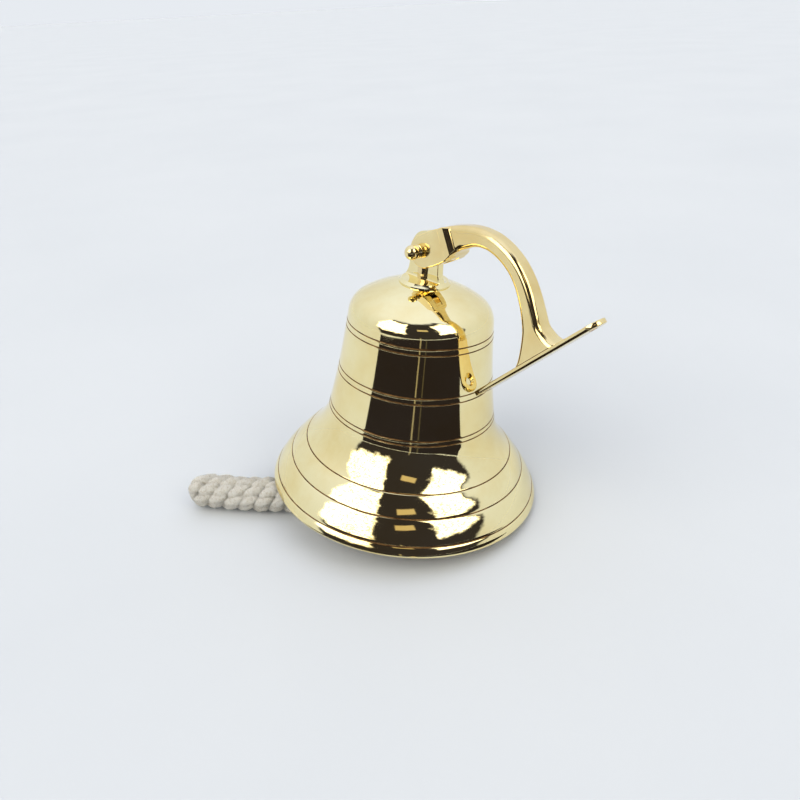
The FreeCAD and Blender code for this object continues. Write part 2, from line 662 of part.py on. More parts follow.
# ---------------------------------------------------------------- check and write
doc.recompute()
for obj in doc.Objects:
    if "Invalid" in obj.State or "Error" in obj.State:
        raise RuntimeError("%s failed: %s" % (obj.Name, obj.State))
bb = None
for label, obj in parts:
    s = obj.Shape
    if s.isNull() or not s.isValid():
        raise RuntimeError("%s has no valid shape" % label)
    print(label, "solids", len(s.Solids), "volume", round(s.Volume, 1))
    if label in ("lanyard_rope", "lanyard_knot", "lanyard_whipping", "lanyard_becket"):
        continue
    b = s.optimalBoundingBox(True, False) if hasattr(s, "optimalBoundingBox") else s.BoundBox
    bb = b if bb is None else bb.united(b)
print("object box", round(bb.XMin, 3), round(bb.XMax, 3), round(bb.YMin, 3), round(bb.YMax, 3), round(bb.ZMin, 3), round(bb.ZMax, 3))
print("centre", round((bb.XMin + bb.XMax) / 2, 3), round((bb.YMin + bb.YMax) / 2, 3))
print("pivot pin at", BELL.multVec(Vector(0, 0, 133.5)), "axis", BELL.Rotation.multVec(Vector(0, 1, 0)))
print("clapper pivot", PIVOT, "axis", CLAPPER.Rotation.multVec(Vector(0, 1, 0)))
print("rope start", route[0], "end", route[-1])
print("plate normal", BELL.Rotation.multVec(M), "along", BELL.Rotation.multVec(E), "middle of wall face", BELL.multVec(mid + M * D["plate_thickness"]))
os.makedirs("parts", exist_ok=True)
for label, obj in parts:
    obj.Shape.exportStep("parts/%s.step" % label)
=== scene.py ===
import math
import random

import bmesh
import bpy
from mathutils import Matrix, Vector, noise


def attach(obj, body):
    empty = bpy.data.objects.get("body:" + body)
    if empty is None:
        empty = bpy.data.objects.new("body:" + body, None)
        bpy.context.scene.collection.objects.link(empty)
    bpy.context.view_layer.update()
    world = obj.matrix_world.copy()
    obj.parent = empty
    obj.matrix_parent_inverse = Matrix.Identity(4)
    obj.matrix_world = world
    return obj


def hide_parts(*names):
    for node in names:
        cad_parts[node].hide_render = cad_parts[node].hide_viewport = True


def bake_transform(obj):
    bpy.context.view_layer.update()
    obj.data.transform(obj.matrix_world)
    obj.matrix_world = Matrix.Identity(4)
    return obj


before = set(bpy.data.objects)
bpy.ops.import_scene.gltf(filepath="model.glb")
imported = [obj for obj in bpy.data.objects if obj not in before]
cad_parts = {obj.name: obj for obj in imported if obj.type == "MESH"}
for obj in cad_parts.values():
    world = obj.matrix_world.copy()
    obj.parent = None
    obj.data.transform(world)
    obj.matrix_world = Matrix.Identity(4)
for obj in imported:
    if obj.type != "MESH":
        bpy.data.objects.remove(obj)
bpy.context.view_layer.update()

MM = 0.001
rnd = random.Random(7)

# ------------------------------------------------------------- frames (mm)
RIM = Vector((-7.713, -0.061, 9.75))
TILT, LEAN, SPIN = math.radians(7.622), math.radians(16.8243), math.radians(-44.5405)
R_TILT = Matrix.Rotation(TILT, 3, Vector((-math.sin(LEAN), math.cos(LEAN), 0)))
R_BELL = R_TILT @ Matrix.Rotation(SPIN, 3, "Z")
PIVOT = RIM + R_BELL @ Vector((0, 0, 95.0))
R_CLAP = Matrix.Rotation(LEAN, 3, "Z")
AXIS_LOCAL = R_BELL.inverted() @ (R_CLAP @ Vector((0, 1, 0)))
EYE_TURN = math.atan2(AXIS_LOCAL.y, AXIS_LOCAL.x) - math.pi / 2


def bell(p):
    return (RIM + R_BELL @ Vector(p)) * MM


def hang(p):
    return (PIVOT + R_CLAP @ Vector(p)) * MM


ANG = math.radians(45.5)
PE = Vector((math.cos(ANG), 0, math.sin(ANG)))
PM = Vector((math.sin(ANG), 0, -math.cos(ANG)))
PMID = PE * 121.5 + PM * -20.5


def plate_at(p):
    """A point of the plate's own frame: x along it, y across, z towards the wall."""
    return bell(PMID + PE * p[0] + PM.cross(PE) * p[1] + PM * p[2])


# ---------------------------------------------------------------- materials
def new_mat(name):
    m = bpy.data.materials.new(name)
    m.use_nodes = True
    nt = m.node_tree
    b = nt.nodes["Principled BSDF"]
    return m, nt, b


def add(nt, kind, **inputs):
    n = nt.nodes.new(kind)
    for k, v in inputs.items():
        if k in ("blend_type", "operation", "noise_dimensions", "feature", "interpolation_type", "wave_type", "bands_direction", "data_type"):
            setattr(n, k, v)
        else:
            n.inputs[k.replace("_", " ")].default_value = v
    return n


def ramp(nt, stops):
    n = nt.nodes.new("ShaderNodeValToRGB")
    e = n.color_ramp.elements
    e[0].position, e[0].color = stops[0][0], (*stops[0][1], 1)
    e[1].position, e[1].color = stops[-1][0], (*stops[-1][1], 1)
    for pos, col in stops[1:-1]:
        x = e.new(pos)
        x.color = (*col, 1)
    return n


def brass(name, tone=(0.94, 0.83, 0.47), deep=(0.88, 0.72, 0.34), rough=(0.02, 0.07), scratch=0.004, wave=0.0, stain=0.25):
    m, nt, b = new_mat(name)
    L = nt.links.new
    co = nt.nodes.new("ShaderNodeTexCoord")
    b.inputs["Metallic"].default_value = 1.0
    # colour: slow change between pale and deeper yellow, with small tea-coloured stains
    n1 = add(nt, "ShaderNodeTexNoise", Scale=28.0, Detail=4.0, Roughness=0.6)
    L(co.outputs["Object"], n1.inputs["Vector"])
    r1 = ramp(nt, [(0.35, deep), (0.62, tone)])
    L(n1.outputs["Fac"], r1.inputs["Fac"])
    n2 = add(nt, "ShaderNodeTexNoise", Scale=210.0, Detail=6.0, Roughness=0.7)
    L(co.outputs["Object"], n2.inputs["Vector"])
    r2 = ramp(nt, [(0.66, (0, 0, 0)), (0.80, (1, 1, 1))])
    L(n2.outputs["Fac"], r2.inputs["Fac"])
    mul = add(nt, "ShaderNodeMath", operation="MULTIPLY")
    mul.inputs[1].default_value = stain
    L(r2.outputs["Color"], mul.inputs[0])
    mix = add(nt, "ShaderNodeMix", data_type="RGBA")
    mix.inputs["B"].default_value = (0.45, 0.27, 0.10, 1)
    L(mul.outputs[0], mix.inputs["Factor"])
    L(r1.outputs["Color"], mix.inputs["A"])
    L(mix.outputs["Result"], b.inputs["Base Color"])
    # roughness: polished, hazier where it has been handled
    n3 = add(nt, "ShaderNodeTexNoise", Scale=60.0, Detail=8.0, Roughness=0.65)
    L(co.outputs["Object"], n3.inputs["Vector"])
    mr = nt.nodes.new("ShaderNodeMapRange")
    mr.inputs["From Min"].default_value, mr.inputs["From Max"].default_value = 0.35, 0.7
    mr.inputs["To Min"].default_value, mr.inputs["To Max"].default_value = rough
    L(n3.outputs["Fac"], mr.inputs["Value"])
    L(mr.outputs["Result"], b.inputs["Roughness"])
    # polishing scratches that run round the bell, and the cast skin's slow waviness
    sc = nt.nodes.new("ShaderNodeMapping")
    sc.inputs["Scale"].default_value = (18.0, 18.0, 900.0)
    L(co.outputs["Object"], sc.inputs["Vector"])
    n4 = add(nt, "ShaderNodeTexNoise", Scale=1.6, Detail=5.0, Roughness=0.75)
    L(sc.outputs["Vector"], n4.inputs["Vector"])
    bp = nt.nodes.new("ShaderNodeBump")
    bp.inputs["Strength"].default_value = scratch * 10
    bp.inputs["Distance"].default_value = 0.0001
    L(n4.outputs["Fac"], bp.inputs["Height"])
    n5 = add(nt, "ShaderNodeTexNoise", Scale=95.0, Detail=3.0, Roughness=0.5)
    L(co.outputs["Object"], n5.inputs["Vector"])
    bp2 = nt.nodes.new("ShaderNodeBump")
    bp2.inputs["Strength"].default_value = wave
    bp2.inputs["Distance"].default_value = 0.0006
    L(n5.outputs["Fac"], bp2.inputs["Height"])
    L(bp.outputs["Normal"], bp2.inputs["Normal"])
    L(bp2.outputs["Normal"], b.inputs["Normal"])
    return m


def groove_mat():
    # the bottom of each turned line is coloured dark brown and duller: painted shade in the cut, added to the shade
    # its own depth gives
    m, nt, b = new_mat("turned_line_painted_shade")
    L = nt.links.new
    co = nt.nodes.new("ShaderNodeTexCoord")
    n = add(nt, "ShaderNodeTexNoise", Scale=260.0, Detail=5.0)
    L(co.outputs["Object"], n.inputs["Vector"])
    r = ramp(nt, [(0.35, (0.10, 0.045, 0.012)), (0.7, (0.34, 0.19, 0.06))])
    L(n.outputs["Fac"], r.inputs["Fac"])
    L(r.outputs["Color"], b.inputs["Base Color"])
    b.inputs["Metallic"].default_value = 0.6
    b.inputs["Roughness"].default_value = 0.42
    return m


def cotton(name, a=(0.64, 0.57, 0.42), c=(0.99, 0.97, 0.88), yarns=1400.0):
    m, nt, b = new_mat(name)
    L = nt.links.new
    co = nt.nodes.new("ShaderNodeTexCoord")
    uv = nt.nodes.new("ShaderNodeUVMap")
    uv.uv_map = "UVMap"
    n1 = add(nt, "ShaderNodeTexNoise", Scale=800.0, Detail=6.0, Roughness=0.8)
    L(co.outputs["Object"], n1.inputs["Vector"])
    n2 = add(nt, "ShaderNodeTexNoise", Scale=120.0, Detail=3.0)
    L(co.outputs["Object"], n2.inputs["Vector"])
    mx = add(nt, "ShaderNodeMath", operation="MULTIPLY_ADD")
    mx.inputs[1].default_value = 0.8
    L(n1.outputs["Fac"], mx.inputs[0])
    ml = add(nt, "ShaderNodeMath", operation="MULTIPLY")
    ml.inputs[1].default_value = 0.2
    L(n2.outputs["Fac"], ml.inputs[0])
    L(ml.outputs[0], mx.inputs[2])
    r = ramp(nt, [(0.38, a), (0.50, (0.92, 0.88, 0.77)), (0.60, c)])
    L(mx.outputs[0], r.inputs["Fac"])
    # twisted yarns along each strand; the low bands between the yarns are painted darker as shade
    mp = nt.nodes.new("ShaderNodeMapping")
    mp.inputs["Rotation"].default_value = (0, 0, math.radians(32))
    mp.inputs["Scale"].default_value = (1, 1, 1)
    L(uv.outputs["UV"], mp.inputs["Vector"])
    w = add(nt, "ShaderNodeTexWave", Scale=5.5, Distortion=2.2, Detail=3.0)
    w.bands_direction = "Y"
    w.inputs["Detail Scale"].default_value = 2.5
    L(mp.outputs["Vector"], w.inputs["Vector"])
    # painted shade: the colour is darkened where the yarn bands dip, the same places where the bump is lowest
    yarn_hollow_shade = add(nt, "ShaderNodeMix", data_type="RGBA", blend_type="MULTIPLY")
    yarn_hollow_shade.inputs["Factor"].default_value = 0.16
    L(r.outputs["Color"], yarn_hollow_shade.inputs["A"])
    L(w.outputs["Color"], yarn_hollow_shade.inputs["B"])
    L(yarn_hollow_shade.outputs["Result"], b.inputs["Base Color"])
    b.inputs["Roughness"].default_value = 0.93
    b.inputs["Sheen Weight"].default_value = 0.35
    b.inputs["Sheen Roughness"].default_value = 0.5
    b.inputs["Specular IOR Level"].default_value = 0.25
    h = add(nt, "ShaderNodeMath", operation="MULTIPLY_ADD")
    h.inputs[1].default_value = 0.7
    L(w.outputs["Fac"], h.inputs[0])
    L(n1.outputs["Fac"], h.inputs[2])
    bp = nt.nodes.new("ShaderNodeBump")
    bp.inputs["Strength"].default_value = 0.9
    bp.inputs["Distance"].default_value = 0.0012
    L(h.outputs[0], bp.inputs["Height"])
    L(bp.outputs["Normal"], b.inputs["Normal"])
    return m


M_POL = brass("polished_brass", wave=0.02)
M_ARM = brass("cast_arm_brass", tone=(0.92, 0.78, 0.42), deep=(0.84, 0.64, 0.28), rough=(0.05, 0.15), scratch=0.004, wave=0.10, stain=0.35)
M_TURN = brass("turned_brass", tone=(0.90, 0.74, 0.40), deep=(0.80, 0.58, 0.26), rough=(0.12, 0.28), scratch=0.02, wave=0.05, stain=0.4)
M_INNER = brass("inner_brass", tone=(0.84, 0.68, 0.36), deep=(0.66, 0.46, 0.20), rough=(0.24, 0.42), scratch=0.05, wave=0.12, stain=0.6)
M_GROOVE = groove_mat()
M_ROPE = cotton("cotton_rope")
M_TWINE = cotton("cotton_twine", a=(0.42, 0.37, 0.28), c=(0.78, 0.74, 0.64))

for n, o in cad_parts.items():
    o.data.materials.clear()
    o.data.materials.append(M_ROPE if n.startswith("lanyard") else M_TURN)


# ------------------------------------------------------------- mesh helpers
def make(name, verts, faces, mats, body, replaces=(), slot=None, smooth=True, sharp=32.0, mat_ids=None, uvs=None):
    me = bpy.data.meshes.new(name)
    me.from_pydata([tuple(v) for v in verts], [], faces)
    for m in mats:
        me.materials.append(m)
    if mat_ids:
        me.polygons.foreach_set("material_index", mat_ids)
    if uvs:
        layer = me.uv_layers.new(name="UVMap")
        for k, (u, v) in enumerate(uvs):
            layer.data[k].uv = (u, v)
    me.update()
    if smooth:
        me.shade_smooth()
        if sharp:
            me.set_sharp_from_angle(angle=math.radians(sharp))
    o = bpy.data.objects.new(name, me)
    bpy.context.scene.collection.objects.link(o)
    if body:
        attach(o, body)
    if replaces:
        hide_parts(*replaces)
    return o


def arc_pts(p, q, radius, left, n):
    dx, dy = q[0] - p[0], q[1] - p[1]
    chord = math.hypot(dx, dy)
    h = math.sqrt(max(radius * radius - chord * chord / 4.0, 0.0))
    nx, ny = -dy / chord, dx / chord
    if not left:
        nx, ny = -nx, -ny
    cx, cy = (p[0] + q[0]) / 2 + nx * h, (p[1] + q[1]) / 2 + ny * h
    a0 = math.atan2(p[1] - cy, p[0] - cx)
    a1 = math.atan2(q[1] - cy, q[0] - cx)
    if left:
        while a1 < a0:
            a1 += 2 * math.pi
    else:
        while a1 > a0:
            a1 -= 2 * math.pi
    return [(cx + radius * math.cos(a0 + (a1 - a0) * i / n), cy + radius * math.sin(a0 + (a1 - a0) * i / n)) for i in range(n)]


def lathe(name, prof, mats, body, to=bell, segs=224, closed=False, ids=None, turn=0.0, **kw):
    """prof: (r, z) points; a point with r = 0 is a pole."""
    verts, rows = [], []
    for r, z in prof:
        if r < 1e-6:
            rows.append([len(verts)] * segs)
            verts.append(to((0, 0, z)))
        else:
            rows.append(list(range(len(verts), len(verts) + segs)))
            for i in range(segs):
                a = 2 * math.pi * i / segs + turn
                verts.append(to((r * math.cos(a), r * math.sin(a), z)))
    faces, mi = [], []
    count = len(prof)
    for j in range(count if closed else count - 1):
        a, b = rows[j], rows[(j + 1) % count]
        for i in range(segs):
            k = (i + 1) % segs
            f = [a[i], a[k], b[k], b[i]]
            g = []
            for x in f:
                if x not in g:
                    g.append(x)
            if len(g) > 2:
                faces.append(g)
                mi.append(ids[j] if ids else 0)
    return make(name, verts, faces, mats, body, mat_ids=mi, **kw)


# ------------------------------------------------------------- camera first
C0 = Vector((RIM.x, RIM.y, 0))
cam_data = bpy.data.cameras.new("cam")
cam = bpy.data.objects.new("cam", cam_data)
bpy.context.scene.collection.objects.link(cam)
right = Vector((0.99897, 0.0, -0.0453))
fwd = Vector((-0.0227, 0.8657, -0.5)).normalized()
right = (right - fwd * right.dot(fwd)).normalized()
up = right.cross(fwd)
cam.matrix_world = Matrix((
    (right.x, up.x, -fwd.x, (C0.x + 8.082) * MM),
    (right.y, up.y, -fwd.y, (C0.y - 332.362) * MM),
    (right.z, up.z, -fwd.z, 251.476 * MM),
    (0, 0, 0, 1)))
cam_data.sensor_width = 36.0
cam_data.lens = 31.5
cam_data.clip_start, cam_data.clip_end = 0.005, 20
bpy.context.scene.camera = cam

# ---------------------------------------------------------- the rope's route
ROUTE = [(-2.6, -17.4), (-28.0, -18.0), (-53.5, -17.5), (-79.0, -15.3), (-101.0, -12.2), (-119.6, -8.3)]
ROPE_D = 18.8
rope_pts = [Vector((C0.x + x, C0.y + y, ROPE_D / 2 + 0.62)) * MM for x, y in ROUTE]


def route_curve(points, name):
    cu = bpy.data.curves.new(name, "CURVE")
    cu.dimensions = "3D"
    sp = cu.splines.new("NURBS")
    sp.points.add(len(points) - 1)
    for p, q in zip(sp.points, points):
        p.co = (*q, 1)
    sp.order_u = 3
    sp.use_endpoint_u = True
    sp.resolution_u = 24
    return cu


def follow(cu, name):
    """Points along the curve itself."""
    ob = bpy.data.objects.new(name, cu)
    bpy.context.scene.collection.objects.link(ob)
    me = bpy.data.meshes.new_from_object(ob)
    pts = [v.co.copy() for v in me.vertices]
    bpy.data.objects.remove(ob)
    bpy.data.meshes.remove(me)
    return pts


line = follow(route_curve(rope_pts, "rope_route"), "rope_route")


class Path:
    def __init__(self, pts):
        self.p = pts
        self.s = [0.0]
        for a, b in zip(pts, pts[1:]):
            self.s.append(self.s[-1] + (b - a).length)
        self.length = self.s[-1]

    def at(self, s):
        if s <= 0:
            d = (self.p[1] - self.p[0]).normalized()
            return self.p[0] + d * s, d
        if s >= self.length:
            d = (self.p[-1] - self.p[-2]).normalized()
            return self.p[-1] + d * (s - self.length), d
        lo, hi = 0, len(self.s) - 1
        while hi - lo > 1:
            m = (lo + hi) // 2
            if self.s[m] <= s:
                lo = m
            else:
                hi = m
        t = (s - self.s[lo]) / max(self.s[hi] - self.s[lo], 1e-12)
        d0 = (self.p[min(lo + 1, len(self.p) - 1)] - self.p[lo]).normalized()
        return self.p[lo].lerp(self.p[hi], t), d0


rope = Path(line)

# ---------------------------------------------------------------- bell shell
outer = []          # (r, z), going up
outer += arc_pts((73.4, 0.0), (75.0, 1.6), 1.6, True, 6)
SEG = [((75.0, 1.6), (72.8, 5.8), 14.0, True, 10), ((72.8, 5.8), (65.2, 16.7), 40.0, True, 18),
       ((65.2, 16.7), (57.2, 25.9), 46.0, True, 16), ((57.2, 25.9), (46.1, 43.5), 39.0, False, 30),
       ((46.1, 43.5), (38.4, 94.5), 450.0, False, 60)]
for p, q, r, left, n in SEG:
    outer += arc_pts(p, q, r, left, n)
outer += [(38.4 - 0.7 * t, 94.5 + 5.7 * t) for t in (0, 0.2, 0.4, 0.6, 0.8)]
outer += arc_pts((37.7, 100.2), (32.2, 108.628), 11.6, True, 22)
outer += arc_pts((32.2, 108.628), (4.2, 117.853), 60.0, True, 26)
outer += [(4.2, 117.853)]
LINES = [95.9, 92.8, 71.0, 67.9, 49.05, 46.65, 25.9, 16.7, 5.8]


def radius_at(z):
    for a, b in zip(outer, outer[1:]):
        if a[1] <= z <= b[1] and b[1] > a[1]:
            t = (z - a[1]) / (b[1] - a[1])
            return a[0] + (b[0] - a[0]) * t
    return None


def with_lines(prof):
    """Cuts the turned lines into the outer profile: returns points and a flag for the bottom of each line, which
    gets painted shade.
    """
    cuts = []
    for z in LINES:
        h = 0.30
        rl, rh, rm = radius_at(z - h), radius_at(z + h), radius_at(z)
        s = math.atan2(rl - rh, 2 * h)
        nx, nz = math.cos(s), math.sin(s)
        tx, tz = -math.sin(s), math.cos(s)
        w, d = 0.34, 0.42
        pts = []
        for u, v in ((-w - 0.14, 0.0), (-w, -0.03), (-w + 0.10, -0.16), (-0.10, -d * 0.93), (0.10, -d * 0.93), (w - 0.10, -0.16), (w, -0.03), (w + 0.14, 0.0)):
            pts.append((rm + tx * u + nx * v, z + tz * u + nz * v))
        cuts.append((z - (w + 0.14) * tz - 0.05, z + (w + 0.14) * tz + 0.05, pts))
    cuts.sort()
    out, dark, i = [], [], 0
    k = 0
    for r, z in prof:
        while k < len(cuts) and z > cuts[k][0] and r > 20:
            for n, p in enumerate(cuts[k][2]):
                out.append(p)
                dark.append(1 if 1 <= n <= 5 else 0)
            k += 1
        if any(lo <= z <= hi and r > 20 for lo, hi, _ in cuts):
            continue
        out.append((r, z))
        dark.append(0)
    return out, dark


op, od = with_lines(outer)
inner = arc_pts((4.2, 114.344), (30.2, 105.752), 56.5, False, 16) + arc_pts((30.2, 105.752), (34.5, 99.2), 8.6, False, 12)
inner += [(34.5 + 0.8 * t, 99.2 - 4.9 * t) for t in (0, 0.25, 0.5, 0.75)]
inner += arc_pts((35.3, 94.3), (43.3, 42.0), 453.0, True, 40) + arc_pts((43.3, 42.0), (54.3, 23.4), 42.0, True, 20)
inner += [(54.3 + 7.6 * t, 23.4 - 9.4 * t) for t in (0, 0.33, 0.66)] + [(61.9 + 7.1 * t, 14.0 - 9.8 * t) for t in (0, 0.33, 0.66)]
inner += [(69.0 + 1.3 * t, 4.2 - 3.6 * t) for t in (0, 0.4, 0.8)] + [(70.6, 0.15), (70.9, 0.0)]
prof = op + inner
# material index 1, the painted shade, goes on the bottom of each turned line; index 2 is the inside
ids = [1 if d else 0 for d in od[:-1]] + [2] * (len(inner) + 1)
ids = ids[:len(prof)]
# the lip's flat underside is polished
ids[-1] = 0
shell = lathe("bell_shell_skin", prof, [M_POL, M_GROOVE, M_INNER], "bell", closed=True, ids=ids, segs=288,
              replaces=("bell_shell",), slot="polished_brass", sharp=40.0)

# ------------------------------------------------------------- crown stem
def stem_radius(z):
    """Radius of the turned blank: a flared foot, then straight."""
    pts = [(116.53, 13.2), (117.3, 13.2), (117.9, 12.55), (119.0, 11.55), (120.5, 10.7), (122.5, 10.05), (125.0, 9.72), (128.0, 9.6), (143.0, 9.6)]
    for (z0, r0), (z1, r1) in zip(pts, pts[1:]):
        if z0 <= z <= z1:
            t = (z - z0) / (z1 - z0)
            return r0 + (r1 - r0) * t
    return 9.6


def grid_solid(name, rings, mats, body, cap=True, closed_ring=True, **kw):
    n = len(rings[0])
    verts = [p for r in rings for p in r]
    faces = []
    for j in range(len(rings) - 1):
        for i in range(n if closed_ring else n - 1):
            k = (i + 1) % n
            faces.append([j * n + i, j * n + k, (j + 1) * n + k, (j + 1) * n + i])
    if cap:
        faces.append(list(range(n))[::-1])
        faces.append(list(range((len(rings) - 1) * n, len(rings) * n)))
    return make(name, verts, faces, mats, body, **kw)


def stem_piece():
    # a ring of N points at each height: round below, flattened to the tongue above
    N = 96
    rings = []
    half = 2.15
    top_c, top_r = 133.5, 9.3
    zs = [116.55, 116.7, 117.0, 117.3, 117.55, 117.8, 118.1, 118.4, 118.7, 118.85, 119.05, 119.3, 119.7, 120.3, 121.2, 122.5, 124, 126, 128, 130, 132, 133.5]
    for z in zs:
        R = stem_radius(z)
        # fillet between the shoulder and the flats
        if z <= 118.7:
            h = R
        else:
            t = min((z - 118.7) / 1.0, 1.0)
            h = half + 1.3 * (1 - math.sqrt(max(0.0, 1 - (1 - t) ** 2)))
        ring = []
        for i in range(N):
            a = 2 * math.pi * i / N
            x, y = R * math.cos(a), R * math.sin(a)
            if h < R:
                y = max(-h, min(h, y))
                w = math.sqrt(max(R * R - h * h, 0))
                x = max(-w, min(w, x)) if abs(math.sin(a)) * R >= h else x
            ring.append(bell((x, y, z)))
        rings.append(ring)
    me_faces = None
    # rounded top: sweep the half circle about the pin
    w = math.sqrt(9.6 ** 2 - half ** 2)
    for k in range(1, 25):
        b = math.pi / 2 * k / 24
        zz = top_c + top_r * math.sin(b)
        ww = top_r * math.cos(b)
        ring = []
        for i in range(N):
            a = 2 * math.pi * i / N
            x, y = 9.6 * math.cos(a), 9.6 * math.sin(a)
            y = max(-half, min(half, y))
            x = max(-w, min(w, x))
            ring.append(bell((x / 9.6 * max(ww, 0.02), y, zz)))
        rings.append(ring)
    return grid_solid("crown_stem_skin", rings, [M_POL], "bell", replaces=("crown_stem",), slot="polished_brass", sharp=38.0)


stem = stem_piece()

# ---------------------------------------------------------------- bracket arm
def catmull(pts, n):
    out = []
    P = [pts[0]] + list(pts) + [pts[-1]]
    for i in range(1, len(P) - 2):
        p0, p1, p2, p3 = P[i - 1], P[i], P[i + 1], P[i + 2]
        for k in range(n):
            t = k / n
            out.append([0.5 * ((2 * b) + (-a + c) * t + (2 * a - 5 * b + 4 * c - d) * t * t + (-a + 3 * b - 3 * c + d) * t ** 3)
                        for a, b, c, d in zip(p0, p1, p2, p3)])
    out.append(list(pts[-1]))
    return out


def super_ring(hu, hv, c, n=64, ridge=0.0):
    """Rounded rectangle as n points, half sizes hu (in plane) by hv (across), corner radius c."""
    pts = []
    per = n // 4
    corners = [(hu - c, hv - c, 0), (-(hu - c), hv - c, 90), (-(hu - c), -(hv - c), 180), (hu - c, -(hv - c), 270)]
    for cx, cy, a0 in corners:
        for k in range(per):
            a = math.radians(a0 + 90.0 * k / (per - 1))
            pts.append((cx + c * math.cos(a), cy + c * math.sin(a)))
    return pts


def foot(e, h, deg, u, v, c):
    q = PE * e + PM * (-20.5 - h)
    return (q.x, q.z, deg, u, v, c)


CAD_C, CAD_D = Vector((2.9, 134.3)), Vector((math.cos(math.radians(29)), math.sin(math.radians(29))))
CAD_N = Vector((-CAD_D.y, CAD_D.x))


def neck(sx, o, u, v, c):
    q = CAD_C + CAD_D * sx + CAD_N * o
    return (q.x, q.y, 29.0, u, v, c)


# x, z, direction, in-plane size, size across, corner
NECK = [neck(12.4, -0.25, 11.0, 11.0, 0.8), neck(12.8, -0.25, 15.1, 15.16, 0.7), neck(14.2, 0.0, 14.9, 15.24, 0.7), neck(15.4, 0.2, 14.3, 15.24, 0.7), neck(16.3, 0.35, 13.7, 15.24, 0.75),
        neck(16.5, 0.35, 13.5, 14.95, 0.9), neck(17.4, 0.4, 13.0, 13.55, 1.3), neck(18.4, 0.45, 12.6, 12.05, 1.8), neck(18.9, 0.5, 12.4, 11.35, 2.1), neck(19.3, 0.5, 12.25, 11.2, 2.4), neck(20.0, 0.5, 12.0, 11.2, 2.6)]
SEC = [
    neck(20.3, 0.5, 11.9, 11.2, 2.7), (23.6, 145.6, 22.0, 11.1, 10.6, 3.1), (27.7, 146.8, 14.0, 9.9, 10.3, 3.1), (31.5, 147.4, 6.0, 9.0, 10.2, 3.1), (35.5, 147.4, -3.0, 8.5, 10.2, 3.1),
    (40.5, 146.6, -14.0, 8.1, 10.2, 3.0), (47.0, 144.0, -29.0, 7.9, 10.3, 3.0), (53.6, 139.6, -39.0, 7.9, 10.3, 3.0),
    (59.0, 133.8, -50.0, 8.1, 10.5, 3.0), (63.2, 127.2, -61.0, 8.5, 10.9, 3.0), (66.6, 120.2, -66.0, 9.2, 11.2, 3.0),
    foot(130.2, 11.2, -60.0, 10.4, 11.4, 3.0), foot(128.7, 7.6, -53.0, 13.8, 11.6, 3.2), foot(127.1, 3.8, -48.0, 18.6, 12.0, 3.4),
    foot(126.0, 1.5, -44.5, 22.8, 12.3, 3.6), foot(125.4, 0.35, -44.5, 25.2, 12.5, 3.7), foot(125.4, 0.0, -44.5, 25.2, 12.5, 3.7)]


def arm_piece():
    rows = [list(r) for r in NECK] + catmull(SEC, 10)
    rings = []
    for x, z, deg, u, v, c in rows:
        t = math.radians(deg)
        N = Vector((-math.sin(t), 0, math.cos(t)))
        ring = []
        for a, b in super_ring(u / 2, v / 2, min(c, u / 2 - 0.05, v / 2 - 0.05), 72):
            p = Vector((x, 0, z)) + N * a + Vector((0, b, 0))
            ring.append(bell(p))
        rings.append(ring)
    return grid_solid("bracket_arm_skin", rings, [M_ARM], "bracket", replaces=("bracket_arm",), slot="polished_brass", sharp=26.0)


arm = arm_piece()


